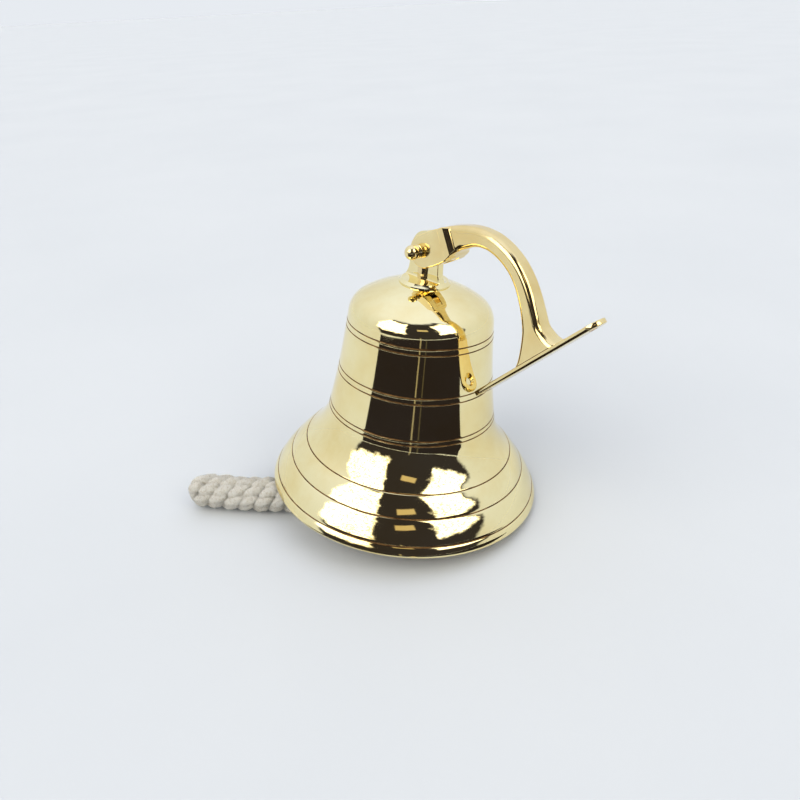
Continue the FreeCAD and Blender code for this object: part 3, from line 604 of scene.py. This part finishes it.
def fork_piece():
    """The fork's two cheeks, joined behind the slot, with rounded edges."""
    cc, rr = Vector((2.9, 134.3)), 8.0
    d = Vector((math.cos(math.radians(29)), math.sin(math.radians(29))))
    n = Vector((-d.y, d.x))
    back = []
    # outline, counter-clockwise in (x, z), seen from the front
    pts = []
    pts += [cc + d * s + n * o for s, o in ((13.4, -7.6), (13.4, -4.0), (13.4, 0.0), (13.4, 3.6), (13.4, 7.1))]
    top = [cc + d * s + n * o for s, o in ((12.5, 7.55), (9.0, 7.85), (4.5, 8.0))]
    pts += top
    for k in range(0, 25):
        a = math.radians(29 + 90 + 180 * k / 24)
        pts.append(cc + Vector((math.cos(a), math.sin(a))) * (8.0 + 0.35 * k / 24))
    pts += [cc + d * s + n * o for s, o in ((4.0, -8.6), (8.5, -8.5), (12.4, -8.15))]
    out = []
    for a, b in zip(pts, pts[1:] + pts[:1]):
        out.append(a)
    verts, faces = [], []
    N = len(out)

    def inset(k, w):
        a, b, c = out[k - 1], out[k], out[(k + 1) % N]
        t = ((b - a).normalized() + (c - b).normalized()).normalized()
        return b - Vector((t.y, -t.x)) * w

    layers = [(-7.6, 0.55), (-7.42, 0.22), (-7.05, 0.0), (-2.9, 0.0), (-2.5, 0.3)]
    bm_rows = []
    for sgn in (1, -1):
        start = len(verts)
        for y, w in layers:
            for k in range(N):
                q = inset(k, w)
                verts.append(bell((q.x, y * sgn, q.y)))
        for j in range(len(layers) - 1):
            for k in range(N):
                a, b = start + j * N + k, start + j * N + (k + 1) % N
                f = [a, b, b + N, a + N]
                faces.append(f if sgn > 0 else f[::-1])
        f = list(range(start, start + N))
        faces.append(f[::-1] if sgn > 0 else f)
        f = list(range(start + 4 * N, start + 5 * N))
        faces.append(f if sgn > 0 else f[::-1])
    # solid bridge behind the slot
    br = [cc + d * s + n * o for s, o in ((9.9, -8.2), (13.3, -7.5), (13.3, 0), (13.3, 7.0), (9.9, 7.6), (10.6, 3.5), (10.8, 0.0), (10.6, -4.0))]
    s0 = len(verts)
    for y in (-2.6, 2.6):
        for q in br:
            verts.append(bell((q.x, y, q.y)))
    m = len(br)
    for k in range(m):
        faces.append([s0 + k, s0 + (k + 1) % m, s0 + m + (k + 1) % m, s0 + m + k])
    faces.append(list(range(s0, s0 + m))[::-1])
    faces.append(list(range(s0 + m, s0 + 2 * m)))
    o = make("bracket_fork_skin", verts, faces, [M_ARM], None, sharp=28.0)
    bm = bmesh.new()
    bm.from_mesh(o.data)
    bmesh.ops.recalc_face_normals(bm, faces=bm.faces)
    bm.to_mesh(o.data)
    bm.free()
    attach(o, "bracket")
    return o


fork = fork_piece()

# ------------------------------------------------------------- wall plate
def plate_piece():
    hl, hw, th = 40.5, 6.5, 2.4
    N = 40
    outline = []
    for k in range(N + 1):
        a = -math.pi / 2 + math.pi * k / N
        outline.append((hl - hw + hw * math.cos(a), hw * math.sin(a)))
    for k in range(N + 1):
        a = math.pi / 2 + math.pi * k / N
        outline.append((-(hl - hw) + hw * math.cos(a), hw * math.sin(a)))
    bm = bmesh.new()
    layers = [(0.0, 0.42), (0.14, 0.12), (0.42, 0.0), (2.0, 0.0), (2.28, 0.12), (2.4, 0.40)]
    rows = []
    for z, w in layers:
        row = []
        for x, y in outline:
            cx = max(-(hl - hw), min(hl - hw, x))
            dx, dy = x - cx, y
            L = math.hypot(dx, dy)
            k = (L - w) / L
            row.append(bm.verts.new(plate_at((cx + dx * k, dy * k, z))))
        rows.append(row)
    n = len(outline)
    for a, b in zip(rows, rows[1:]):
        for i in range(n):
            bm.faces.new((a[i], a[(i + 1) % n], b[(i + 1) % n], b[i]))
    # faces with holes: bridge each face to the hole rings by triangulating
    holes = [(-34.0, 0.0), (34.0, 0.0)]
    H = 40
    rims = {0: [], 1: []}
    for side, (z, r) in enumerate(((0.0, 3.9), (2.4, 2.1))):
        for hx, hy in holes:
            ring = [bm.verts.new(plate_at((hx + r * math.cos(2 * math.pi * i / H), hy + r * math.sin(2 * math.pi * i / H), z))) for i in range(H)]
            rims[side].append(ring)
    mids = []
    for hx, hy in holes:
        mids.append([bm.verts.new(plate_at((hx + 2.1 * math.cos(2 * math.pi * i / H), hy + 2.1 * math.sin(2 * math.pi * i / H), 1.5))) for i in range(H)])
    for k in range(2):
        for i in range(H):
            j = (i + 1) % H
            bm.faces.new((rims[0][k][i], rims[0][k][j], mids[k][j], mids[k][i]))
            bm.faces.new((mids[k][i], mids[k][j], rims[1][k][j], rims[1][k][i]))
    for side, row in ((0, rows[0]), (1, rows[-1])):
        edges = []
        for loop in [row] + rims[side]:
            for i in range(len(loop)):
                a, b = loop[i], loop[(i + 1) % len(loop)]
                e = bm.edges.get((a, b)) or bm.edges.new((a, b))
                edges.append(e)
        bmesh.ops.triangle_fill(bm, use_beauty=True, use_dissolve=False, edges=edges)
    bmesh.ops.recalc_face_normals(bm, faces=bm.faces)
    me = bpy.data.meshes.new("wall_plate_skin")
    bm.to_mesh(me)
    bm.free()
    me.materials.append(M_ARM)
    me.shade_smooth()
    me.set_sharp_from_angle(angle=math.radians(24))
    o = bpy.data.objects.new("wall_plate_skin", me)
    bpy.context.scene.collection.objects.link(o)
    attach(o, "bracket")
    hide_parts("wall_plate")
    return o


plate = plate_piece()


# ------------------------------------------------------------- pin and its nut
def along_y(y0):
    def to(p):
        # local z runs along the pin
        return bell((p[0], p[2] * y0, 133.5 + p[1]))
    return to


def ball_profile(shoulder):
    pts = [(0.0, 6.6), (2.6, 6.6), (2.6, 7.6)]
    pts += [(shoulder, 7.62), (shoulder + 0.05, 7.9), (shoulder - 0.3, 8.15), (2.95, 8.5), (2.6, 8.75)]
    for k in range(0, 25):
        a = -math.acos(min(1, 2.6 / 3.65)) + (math.pi / 2 + math.acos(min(1, 2.6 / 3.65))) * k / 24
        pts.append((max(3.65 * math.cos(a), 0.0), 11.6 + 3.65 * math.sin(a)))
    pts[-1] = (0.0, 15.25)
    return pts


pin = lathe("pivot_pin_head", ball_profile(3.4), [M_ARM], "bracket", to=along_y(-1), segs=64, replaces=("pivot_pin",), slot="turned_brass", sharp=40)
shank = lathe("pivot_pin_shank", [(0.0, -7.5), (2.5, -7.5), (2.5, 7.5), (0.0, 7.5)], [M_TURN], "bracket", to=along_y(-1), segs=48, slot="turned_brass", sharp=40)
pnut = lathe("pin_nut_skin", ball_profile(3.9), [M_ARM], "bracket", to=along_y(1), segs=64, replaces=("pin_nut",), slot="turned_brass", sharp=40)
for o in (pin, shank, pnut):
    bm = bmesh.new()
    bm.from_mesh(o.data)
    bmesh.ops.recalc_face_normals(bm, faces=bm.faces)
    bm.to_mesh(o.data)
    bm.free()

# ------------------------------------------------------------- clapper
def ring_mesh(R, r, centre, plane, to, name, body, mat, **kw):
    verts, faces = [], []
    A, B = 64, 24
    for i in range(A):
        a = 2 * math.pi * i / A
        for j in range(B):
            b = 2 * math.pi * j / B
            q = (R + r * math.cos(b))
            w = r * math.sin(b)
            if plane == "yz":
                p = (centre[0] + w, centre[1] + q * math.cos(a), centre[2] + q * math.sin(a))
            else:
                p = (centre[0] + q * math.cos(a), centre[1] + w, centre[2] + q * math.sin(a))
            verts.append(to(p))
    for i in range(A):
        for j in range(B):
            faces.append([i * B + j, ((i + 1) % A) * B + j, ((i + 1) % A) * B + (j + 1) % B, i * B + (j + 1) % B])
    return make(name, verts, faces, [mat], body, **kw)


ring_mesh(5.0, 2.0, (0, 0, -5.0), "yz", hang, "clapper_ring", "clapper", M_TURN, slot="turned_brass")
lathe("clapper_rod_skin", [(0.0, -79.4), (2.6, -79.4), (3.0, -79.0), (3.0, -58.0), (2.6, -40.0), (2.2, -16.0), (2.4, -13.0), (3.1, -11.2), (2.6, -9.8), (0, -9.4)], [M_TURN], "clapper", to=hang, segs=48,
      replaces=("clapper_rod",), slot="turned_brass", sharp=45)
ballp = [(3.0, -78.13)]
for k in range(1, 40):
    a = -math.acos(3.0 / 12.5) + 2 * math.acos(3.0 / 12.5) * k / 40
    ballp.append((12.5 * math.cos(a), -66.0 + 12.5 * math.sin(a)))
ballp.append((3.0, -53.87))
lathe("clapper_ball_skin", ballp, [M_TURN], "clapper", to=hang, segs=96, replaces=("clapper_ball",), slot="turned_brass", sharp=45)
ring_mesh(4.6, 1.6, (0, 0, -86.0), "xz", hang, "tail_eye_skin", "clapper", M_TURN, replaces=("tail_eye",), slot="turned_brass")


# ------------------------------------------------------------- rope strands
def tube(points, radii, name, mat, body, n=20, squash=None, cap=True, ups=None, **kw):
    """A tube of varying radius along points; ups gives each ring's outward direction, for a strand flattened against the rope."""
    verts, faces, uvs = [], [], []
    total = 0.0
    lens = [0.0]
    for a, b in zip(points, points[1:]):
        total += (b - a).length
        lens.append(total)
    for i, p in enumerate(points):
        a = points[max(i - 1, 0)]
        b = points[min(i + 1, len(points) - 1)]
        t = (b - a).normalized()
        u = ups[i] if ups else Vector((0, 0, 1))
        u = (u - t * u.dot(t)).normalized()
        v = t.cross(u)
        for j in range(n):
            q = 2 * math.pi * j / n
            ru, rv = radii[i] if isinstance(radii[i], tuple) else (radii[i], radii[i])
            verts.append(p + u * (ru * math.cos(q)) + v * (rv * math.sin(q)))
    for i in range(len(points) - 1):
        for j in range(n):
            k = (j + 1) % n
            faces.append([i * n + j, i * n + k, (i + 1) * n + k, (i + 1) * n + j])
            w = 2 * math.pi * 0.003
            for (ii, jj) in ((i, j), (i, j + 1), (i + 1, j + 1), (i + 1, j)):
                uvs.append((lens[ii] * 160.0, jj / n * 3.0))
    if cap:
        f0 = list(range(n))[::-1]
        f1 = list(range((len(points) - 1) * n, len(points) * n))
        faces.append(f0)
        faces.append(f1)
        uvs += [(0, 0)] * (2 * n)
    return verts, faces, uvs


def frame_at(s):
    p, t = rope.at(s)
    up = Vector((0, 0, 1))
    side = t.cross(up).normalized()
    up = side.cross(t).normalized()
    return p, t, side, up


def braid():
    """Crown sinnet: eight rows of plump crossings that climb round the rope, each tucked under the next."""
    allv, allf, alluv = [], [], []
    L = rope.length
    R = ROPE_D / 2 * MM
    rows, gap = 8, 8.9 * MM
    lean = math.radians(36)

    def keep(v, f, u):
        o = len(allv)
        allv.extend(v)
        allf.extend([[x + o for x in q] for q in f])
        alluv.extend(u)

    def shrink(s):
        e = max(0.0, (s - (L - 4.0 * MM)) / (7.0 * MM))
        return math.sqrt(max(0.02, 1 - min(e, 1.0) ** 2))

    # the dark heart of the rope
    cv, cr, cup = [], [], []
    for i in range(61):
        s = (L - 0.5 * MM) * i / 60
        p, t, side, up = frame_at(s)
        cv.append(p)
        cr.append(R * 0.60 * shrink(s))
        cup.append(up)
    keep(*tube(cv, cr, "core", M_ROPE, None, n=24, ups=cup))
    count = int(L / gap) + 6
    for k in range(rows):
        for j in range(-3, count):
            s0 = j * gap + k * gap * 3 / 8 + rnd.uniform(-0.5, 0.5) * MM
            if s0 < 1.0 * MM or s0 > L + 0.6 * MM:
                continue
            f0 = 2 * math.pi * k / rows + rnd.uniform(-0.06, 0.06)
            length = (13.6 + rnd.uniform(-0.8, 0.8)) * MM
            fat = 1 + rnd.uniform(-0.06, 0.08)
            tip = rnd.uniform(-0.08, 0.08)
            pts, rad, ups = [], [], []
            n = 22
            for i in range(n + 1):
                q = -1 + 2 * i / n
                s = s0 + q * length / 2 * math.cos(lean + tip)
                ph = f0 + q * length / 2 * math.sin(lean + tip) / R
                sc = shrink(s)
                dip = 1.15 * q * q + 1.7 * max(0.0, abs(q) - 0.62) / 0.38
                p, t, side, up = frame_at(max(-3.5 * MM, min(s, L + 0.2 * MM)))
                out = side * math.cos(ph) + up * math.sin(ph)
                pts.append(p + out * ((6.45 - dip) * MM * sc))
                ups.append(out)
                w = math.sqrt(max(0.0, 1 - (abs(q) ** 3.2) * 0.93)) * fat
                rad.append((3.30 * MM * w * (0.8 + 0.2 * sc), 3.02 * MM * w * (0.8 + 0.2 * sc)))
            v, f, u = tube(pts, rad, "s", M_ROPE, None, n=18, ups=ups)
            v = [x + (x - rope_mid(x)).normalized() * (0.45 * MM * noise.noise(x * 420) + 0.42 * MM * noise.noise(x * 1250)) for x in v]
            keep(v, f, u)
    # last crown over the free end
    e0, t, side, up = frame_at(L)
    for k in range(4):
        a = math.pi / 4 + k * math.pi / 2
        o1 = side * math.cos(a) + up * math.sin(a)
        o2 = side * math.cos(a + 1.9) + up * math.sin(a + 1.9)
        pts, rad, ups = [], [], []
        for i in range(19):
            q = i / 18
            o = (o1 * (1 - q) + o2 * q)
            pts.append(e0 + o * 6.0 * MM + t * (-1.4 + 1.8 * math.sin(math.pi * q)) * MM)
            ups.append(t)
            w = math.sqrt(max(0.0, 1 - (abs(2 * q - 1) ** 3) * 0.9))
            rad.append((2.8 * MM * w, 3.3 * MM * w))
        v, f, u = tube(pts, rad, "s", M_ROPE, None, n=16, ups=ups)
        v = [x + Vector((noise.noise(x * 420), noise.noise(x * 420 + Vector((5, 1, 0))), noise.noise(x * 420 + Vector((0, 7, 2))))) * 0.25 * MM for x in v]
        keep(v, f, u)
    return allv, allf, alluv


def rope_mid(x):
    """The rope's centre line nearest to x."""
    best, bd = None, 1e9
    for p in rope.p[::4]:
        d = (p - x).length_squared
        if d < bd:
            best, bd = p, d
    return best


bv, bf, buv = braid()
bv = [Vector((v.x, v.y, max(v.z, 0.0002 + 0.25 * max(v.z, -0.001)))) if v.z < 0.0003 else v for v in bv]
rope_obj = make("lanyard_braid", bv, bf, [M_ROPE], "lanyard", replaces=("lanyard_rope", "lanyard_knot"), slot="cotton_rope", sharp=None, uvs=buv)

# whipping: neat turns of twine round the inner end
start_dir = (rope_pts[0] - rope_pts[1]).normalized()
wp, wr, wu = [], [], []
turns, WR = 8, (ROPE_D / 2 - 0.45) * MM
side = start_dir.cross(Vector((0, 0, 1))).normalized()
upv = side.cross(start_dir).normalized()
for i in range(turns * 48 + 1):
    a = 2 * math.pi * i / 48
    f = i / (turns * 48)
    s = (-1.5 + 7.6 * f) * MM
    r = WR - 0.5 * MM * max(0.0, (f - 0.6) / 0.4) ** 2 * 5
    out = side * math.cos(a) + upv * math.sin(a)
    wp.append(rope_pts[0] + Vector((0, 0, -0.6 * MM)) + start_dir * s + out * (r - 0.45 * MM))
    wr.append(0.52 * MM)
    wu.append(out)
v, f, u = tube(wp, wr, "w", M_TWINE, None, n=10, ups=wu)
# the strands' end inside the whipping
base = len(v)
M = 48
for s, r in ((-1.0, 8.4), (5.0, 8.0), (6.6, 6.6), (7.2, 3.6)):
    for i in range(M):
        a = 2 * math.pi * i / M
        v.append(rope_pts[0] + Vector((0, 0, -0.6 * MM)) + start_dir * (s * MM) + (side * math.cos(a) + upv * math.sin(a)) * (r * MM * (1 + 0.02 * math.sin(6 * a))))
for j in range(3):
    for i in range(M):
        k = (i + 1) % M
        f.append([base + j * M + i, base + j * M + k, base + (j + 1) * M + k, base + (j + 1) * M + i])
        u += [(0, 0), (0.1, 0), (0.1, 0.1), (0, 0.1)]
f.append(list(range(base + 3 * M, base + 4 * M)))
u += [(0, 0)] * M
whip = make("lanyard_whipping_twine", v, f, [M_TWINE], "lanyard", replaces=("lanyard_whipping",), slot="cotton_rope", sharp=None, uvs=u)

# becket: thin cord from the whipping through the tail eye and back
tail_c = hang((0, 0, -86.0))
w_end = rope_pts[0] + Vector((0, 0, -0.6 * MM)) + start_dir * 7.0 * MM
to_eye = tail_c - w_end
flat = Vector((to_eye.x, to_eye.y, 0)).normalized()
loop_pts = [
    w_end - start_dir * 2.0 * MM + Vector((0, 0, 1.6 * MM)),
    w_end + start_dir * 2.4 * MM + Vector((0, 0, 3.6 * MM)),
    w_end + start_dir * 3.0 * MM + flat * 1.5 * MM + Vector((0, 0, 10.6 * MM)),
    w_end + start_dir * 2.4 * MM + flat * 8.0 * MM + Vector((0, 0, 11.0 * MM)),
    tail_c - flat * 5.0 * MM + Vector((0, 0, -5.8 * MM)),
    tail_c + flat * 3.4 * MM + Vector((0, 0, -4.6 * MM)),
    tail_c + flat * 3.2 * MM + Vector((0, 0, -1.2 * MM)),
    tail_c - flat * 0.5 * MM + Vector((0, 0, -1.3 * MM)),
    tail_c - flat * 6.5 * MM + Vector((0, 0, 0.4 * MM)),
    w_end + start_dir * 1.6 * MM + flat * 8.0 * MM + Vector((0, 0, 14.2 * MM)),
    w_end + start_dir * 1.2 * MM + flat * 1.0 * MM + Vector((0, 0, 13.6 * MM)),
    w_end + start_dir * 1.4 * MM + Vector((0, 0, 6.6 * MM)),
    w_end - start_dir * 2.0 * MM + Vector((0, 0, 4.6 * MM)),
]
bl = Path(follow(route_curve(loop_pts, "becket_route"), "becket_route"))
v, f, u = [], [], []
for k in range(3):
    pts, ups = [], []
    n = 150
    for i in range(n + 1):
        s = bl.length * i / n
        p, t = bl.at(s)
        a = Vector((0, 0, 1)) if abs(t.z) < 0.9 else Vector((1, 0, 0))
        sd = t.cross(a).normalized()
        uu = sd.cross(t).normalized()
        ph = 2 * math.pi * (s / (7.0 * MM) + k / 3)
        out = sd * math.cos(ph) + uu * math.sin(ph)
        pts.append(p + out * 0.62 * MM)
        ups.append(out)
    tv, tf, tu = tube(pts, [0.66 * MM] * len(pts), "b", M_TWINE, None, n=10, ups=ups)
    o = len(v)
    v += tv
    f += [[x + o for x in q] for q in tf]
    u += tu
becket = make("lanyard_becket_cord", v, f, [M_TWINE], None, slot="cotton_rope", sharp=None, uvs=u)
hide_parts("lanyard_becket")
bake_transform(becket)

tuple(rope_pts[0])
[tuple(p) for p in line]

# ------------------------------------------------------------- floor
floor_me = bpy.data.meshes.new("floor")
S = 60.0
floor_me.from_pydata([(-S, -S, -0.0002), (S, -S, -0.0002), (S, S, -0.0002), (-S, S, -0.0002)], [], [[0, 1, 2, 3]])
floor = bpy.data.objects.new("floor", floor_me)
bpy.context.scene.collection.objects.link(floor)
fm, nt, b = new_mat("floor_paper")
co = nt.nodes.new("ShaderNodeTexCoord")
n = add(nt, "ShaderNodeTexNoise", Scale=4.0, Detail=3.0)
nt.links.new(co.outputs["Object"], n.inputs["Vector"])
r = ramp(nt, [(0.3, (0.455, 0.474, 0.488)), (0.7, (0.472, 0.490, 0.502))])
nt.links.new(n.outputs["Fac"], r.inputs["Fac"])
nt.links.new(r.outputs["Color"], b.inputs["Base Color"])
b.inputs["Roughness"].default_value = 0.9
b.inputs["Specular IOR Level"].default_value = 0.1
floor_me.materials.append(fm)


# what the room looks like from the bell: seen only in reflections
def card(name, verts, faces, colour, strength):
    me = bpy.data.meshes.new(name)
    me.from_pydata(verts, [], faces)
    o = bpy.data.objects.new(name, me)
    bpy.context.scene.collection.objects.link(o)
    m, t, p = new_mat(name)
    p.inputs["Base Color"].default_value = (0, 0, 0, 1)
    p.inputs["Specular IOR Level"].default_value = 0.0
    p.inputs["Emission Color"].default_value = (*colour, 1)
    p.inputs["Emission Strength"].default_value = strength
    me.materials.append(m)
    o.visible_camera = False
    o.visible_diffuse = False
    o.visible_shadow = False
    o.visible_transmission = False
    return o


def sector(name, r0, r1, a0, a1, z, colour, strength, wob=0.0):
    vs, fs = [], []
    n = 60
    for i in range(n + 1):
        a = math.radians(a0 + (a1 - a0) * i / n)
        for r in (r0, r1):
            vs.append(((C0.x + r * math.sin(a)) * MM, (C0.y - r * math.cos(a)) * MM, z * MM))
    for i in range(n):
        fs.append([2 * i, 2 * i + 1, 2 * i + 3, 2 * i + 2])
    return card(name, vs, fs, colour, strength)


sector("dark_table", 108.0, 2600.0, -62.0, 60.0, 0.6, (0.80, 0.66, 0.80), 0.030)
for nm, a0, w0, r0, r1, st in (("pale_seam", -1.4, 1.7, 300.0, 2600.0, 0.42), ("faint_seam", 7.2, 1.4, 300.0, 1500.0, 0.11), ("near_seam", 3.2, 3.0, 109.0, 190.0, 0.8)):
    sector(nm, r0, r1, a0, a0 + w0, 0.9, (1.0, 0.90, 0.66), st)

# ------------------------------------------------------------- surroundings
world = bpy.data.worlds.new("studio")
bpy.context.scene.world = world
world.use_nodes = True
wt = world.node_tree
wt.nodes.clear()
wl = wt.links.new
wout = wt.nodes.new("ShaderNodeOutputWorld")
bg = wt.nodes.new("ShaderNodeBackground")
wl(bg.outputs[0], wout.inputs[0])
tc = wt.nodes.new("ShaderNodeTexCoord")
sep = wt.nodes.new("ShaderNodeSeparateXYZ")
wl(tc.outputs["Generated"], sep.inputs[0])


def math_node(op, a, bb=None, c=None, clamp=False):
    n = wt.nodes.new("ShaderNodeMath")
    n.operation = op
    n.use_clamp = clamp
    for i, x in enumerate((a, bb, c)):
        if x is None:
            continue
        if isinstance(x, (int, float)):
            n.inputs[i].default_value = x
        else:
            wl(x, n.inputs[i])
    return n.outputs[0]


neg_y = math_node("MULTIPLY", sep.outputs["Y"], -1.0)
az = math_node("MULTIPLY", math_node("ARCTAN2", sep.outputs["X"], neg_y), 180 / math.pi)
el = math_node("MULTIPLY", math_node("ARCSINE", sep.outputs["Z"]), 180 / math.pi)
# the edges of what stands round the bell aren't straight
wn = wt.nodes.new("ShaderNodeTexNoise")
wn.inputs["Scale"].default_value = 6.0
wn.inputs["Detail"].default_value = 4.0
wl(tc.outputs["Generated"], wn.inputs["Vector"])
wob = math_node("MULTIPLY", math_node("SUBTRACT", wn.outputs["Fac"], 0.5), 16.0)
azw = math_node("ADD", az, wob)
elw = math_node("ADD", el, wob)


def step(x, lo, hi):
    n = wt.nodes.new("ShaderNodeMapRange")
    n.interpolation_type = "SMOOTHSTEP"
    wl(x, n.inputs["Value"])
    n.inputs["From Min"].default_value = lo
    n.inputs["From Max"].default_value = hi
    return n.outputs["Result"]


def window(x, lo, hi, soft):
    up_ = step(x, lo - soft, lo + soft)
    dn = step(x, hi - soft, hi + soft)
    return math_node("MULTIPLY", up_, math_node("SUBTRACT", 1.0, dn))


def mix_col(fac, a, c):
    n = wt.nodes.new("ShaderNodeMix")
    n.data_type = "RGBA"
    wl(fac, n.inputs["Factor"])
    for name, x in (("A", a), ("B", c)):
        if isinstance(x, tuple):
            n.inputs[name].default_value = (*x, 1)
        else:
            wl(x, n.inputs[name])
    return n.outputs["Result"]


colour = mix_col(step(el, 5, 80), (0.80, 0.835, 0.88), (1.02, 1.09, 1.32))
plain = colour
wide = step(el, -4, 24)
azl = math_node("ADD", azw, math_node("MULTIPLY", wide, 11.0))
azr = math_node("SUBTRACT", azw, math_node("MULTIPLY", wide, 16.0))
dark = math_node("MULTIPLY", math_node("MULTIPLY", step(azl, -65, -59), math_node("SUBTRACT", 1.0, step(azr, 57, 63))), math_node("SUBTRACT", 1.0, step(elw, 66, 76)))
colour = mix_col(dark, colour, (0.036, 0.032, 0.038))
seam = math_node("MULTIPLY", window(az, -1.4, 0.3, 0.4), math_node("MULTIPLY", dark, math_node("SUBTRACT", 1.0, step(el, 5, 9))))
colour = mix_col(seam, colour, (0.42, 0.38, 0.28))
left = math_node("MULTIPLY", window(azw, -74, -23, 2.5), window(elw, 17, 63, 3.0))
rght = math_node("MULTIPLY", window(azw, 34, 72, 2.5), window(elw, 20, 60, 3.0))
sn = wt.nodes.new("ShaderNodeTexNoise")
sn.inputs["Scale"].default_value = 38.0
sn.inputs["Detail"].default_value = 5.0
wl(tc.outputs["Generated"], sn.inputs["Vector"])
crinkle = wt.nodes.new("ShaderNodeValToRGB")
crinkle.color_ramp.elements[0].position, crinkle.color_ramp.elements[0].color = 0.38, (1.4, 1.25, 0.85, 1)
crinkle.color_ramp.elements[1].position, crinkle.color_ramp.elements[1].color = 0.58, (4.2, 4.1, 3.9, 1)
wl(sn.outputs["Fac"], crinkle.inputs["Fac"])
for m_ in (left, rght):
    colour = mix_col(m_, colour, crinkle.outputs["Color"])
lamp = math_node("MULTIPLY", window(az, -2, 17, 0.8), window(el, 37, 44, 0.6))
colour = mix_col(lamp, colour, (0.72, 0.58, 0.34))
# the backdrop itself is plain; the rest of the room is only seen in the metal
lp = wt.nodes.new("ShaderNodeLightPath")
colour = mix_col(lp.outputs["Is Camera Ray"], colour, plain)
wl(colour, bg.inputs["Color"])
bg.inputs["Strength"].default_value = 1.0


def sun(name, loc, wide, power, col=(1, 1, 1)):
    """A very wide, even light: the light tent round the table."""
    d = bpy.data.lights.new(name, "SUN")
    d.angle = math.radians(wide)
    d.energy = power
    d.color = col
    o = bpy.data.objects.new(name, d)
    bpy.context.scene.collection.objects.link(o)
    o.location = loc
    o.rotation_mode = "QUATERNION"
    o.rotation_quaternion = (-Vector(loc)).to_track_quat("-Z", "Y")
    o.visible_glossy = False
    return o


sun("soft_top", (0.15, 0.35, 1.1), 70, 0.6)
sun("soft_left", (-0.9, -0.6, 0.8), 60, 1.1, (1.0, 0.98, 0.95))
sun("soft_front", (0.1, -1.0, 0.85), 75, 1.1, (1.0, 0.985, 0.96))
bpy.context.scene.view_settings.view_transform = "Standard"
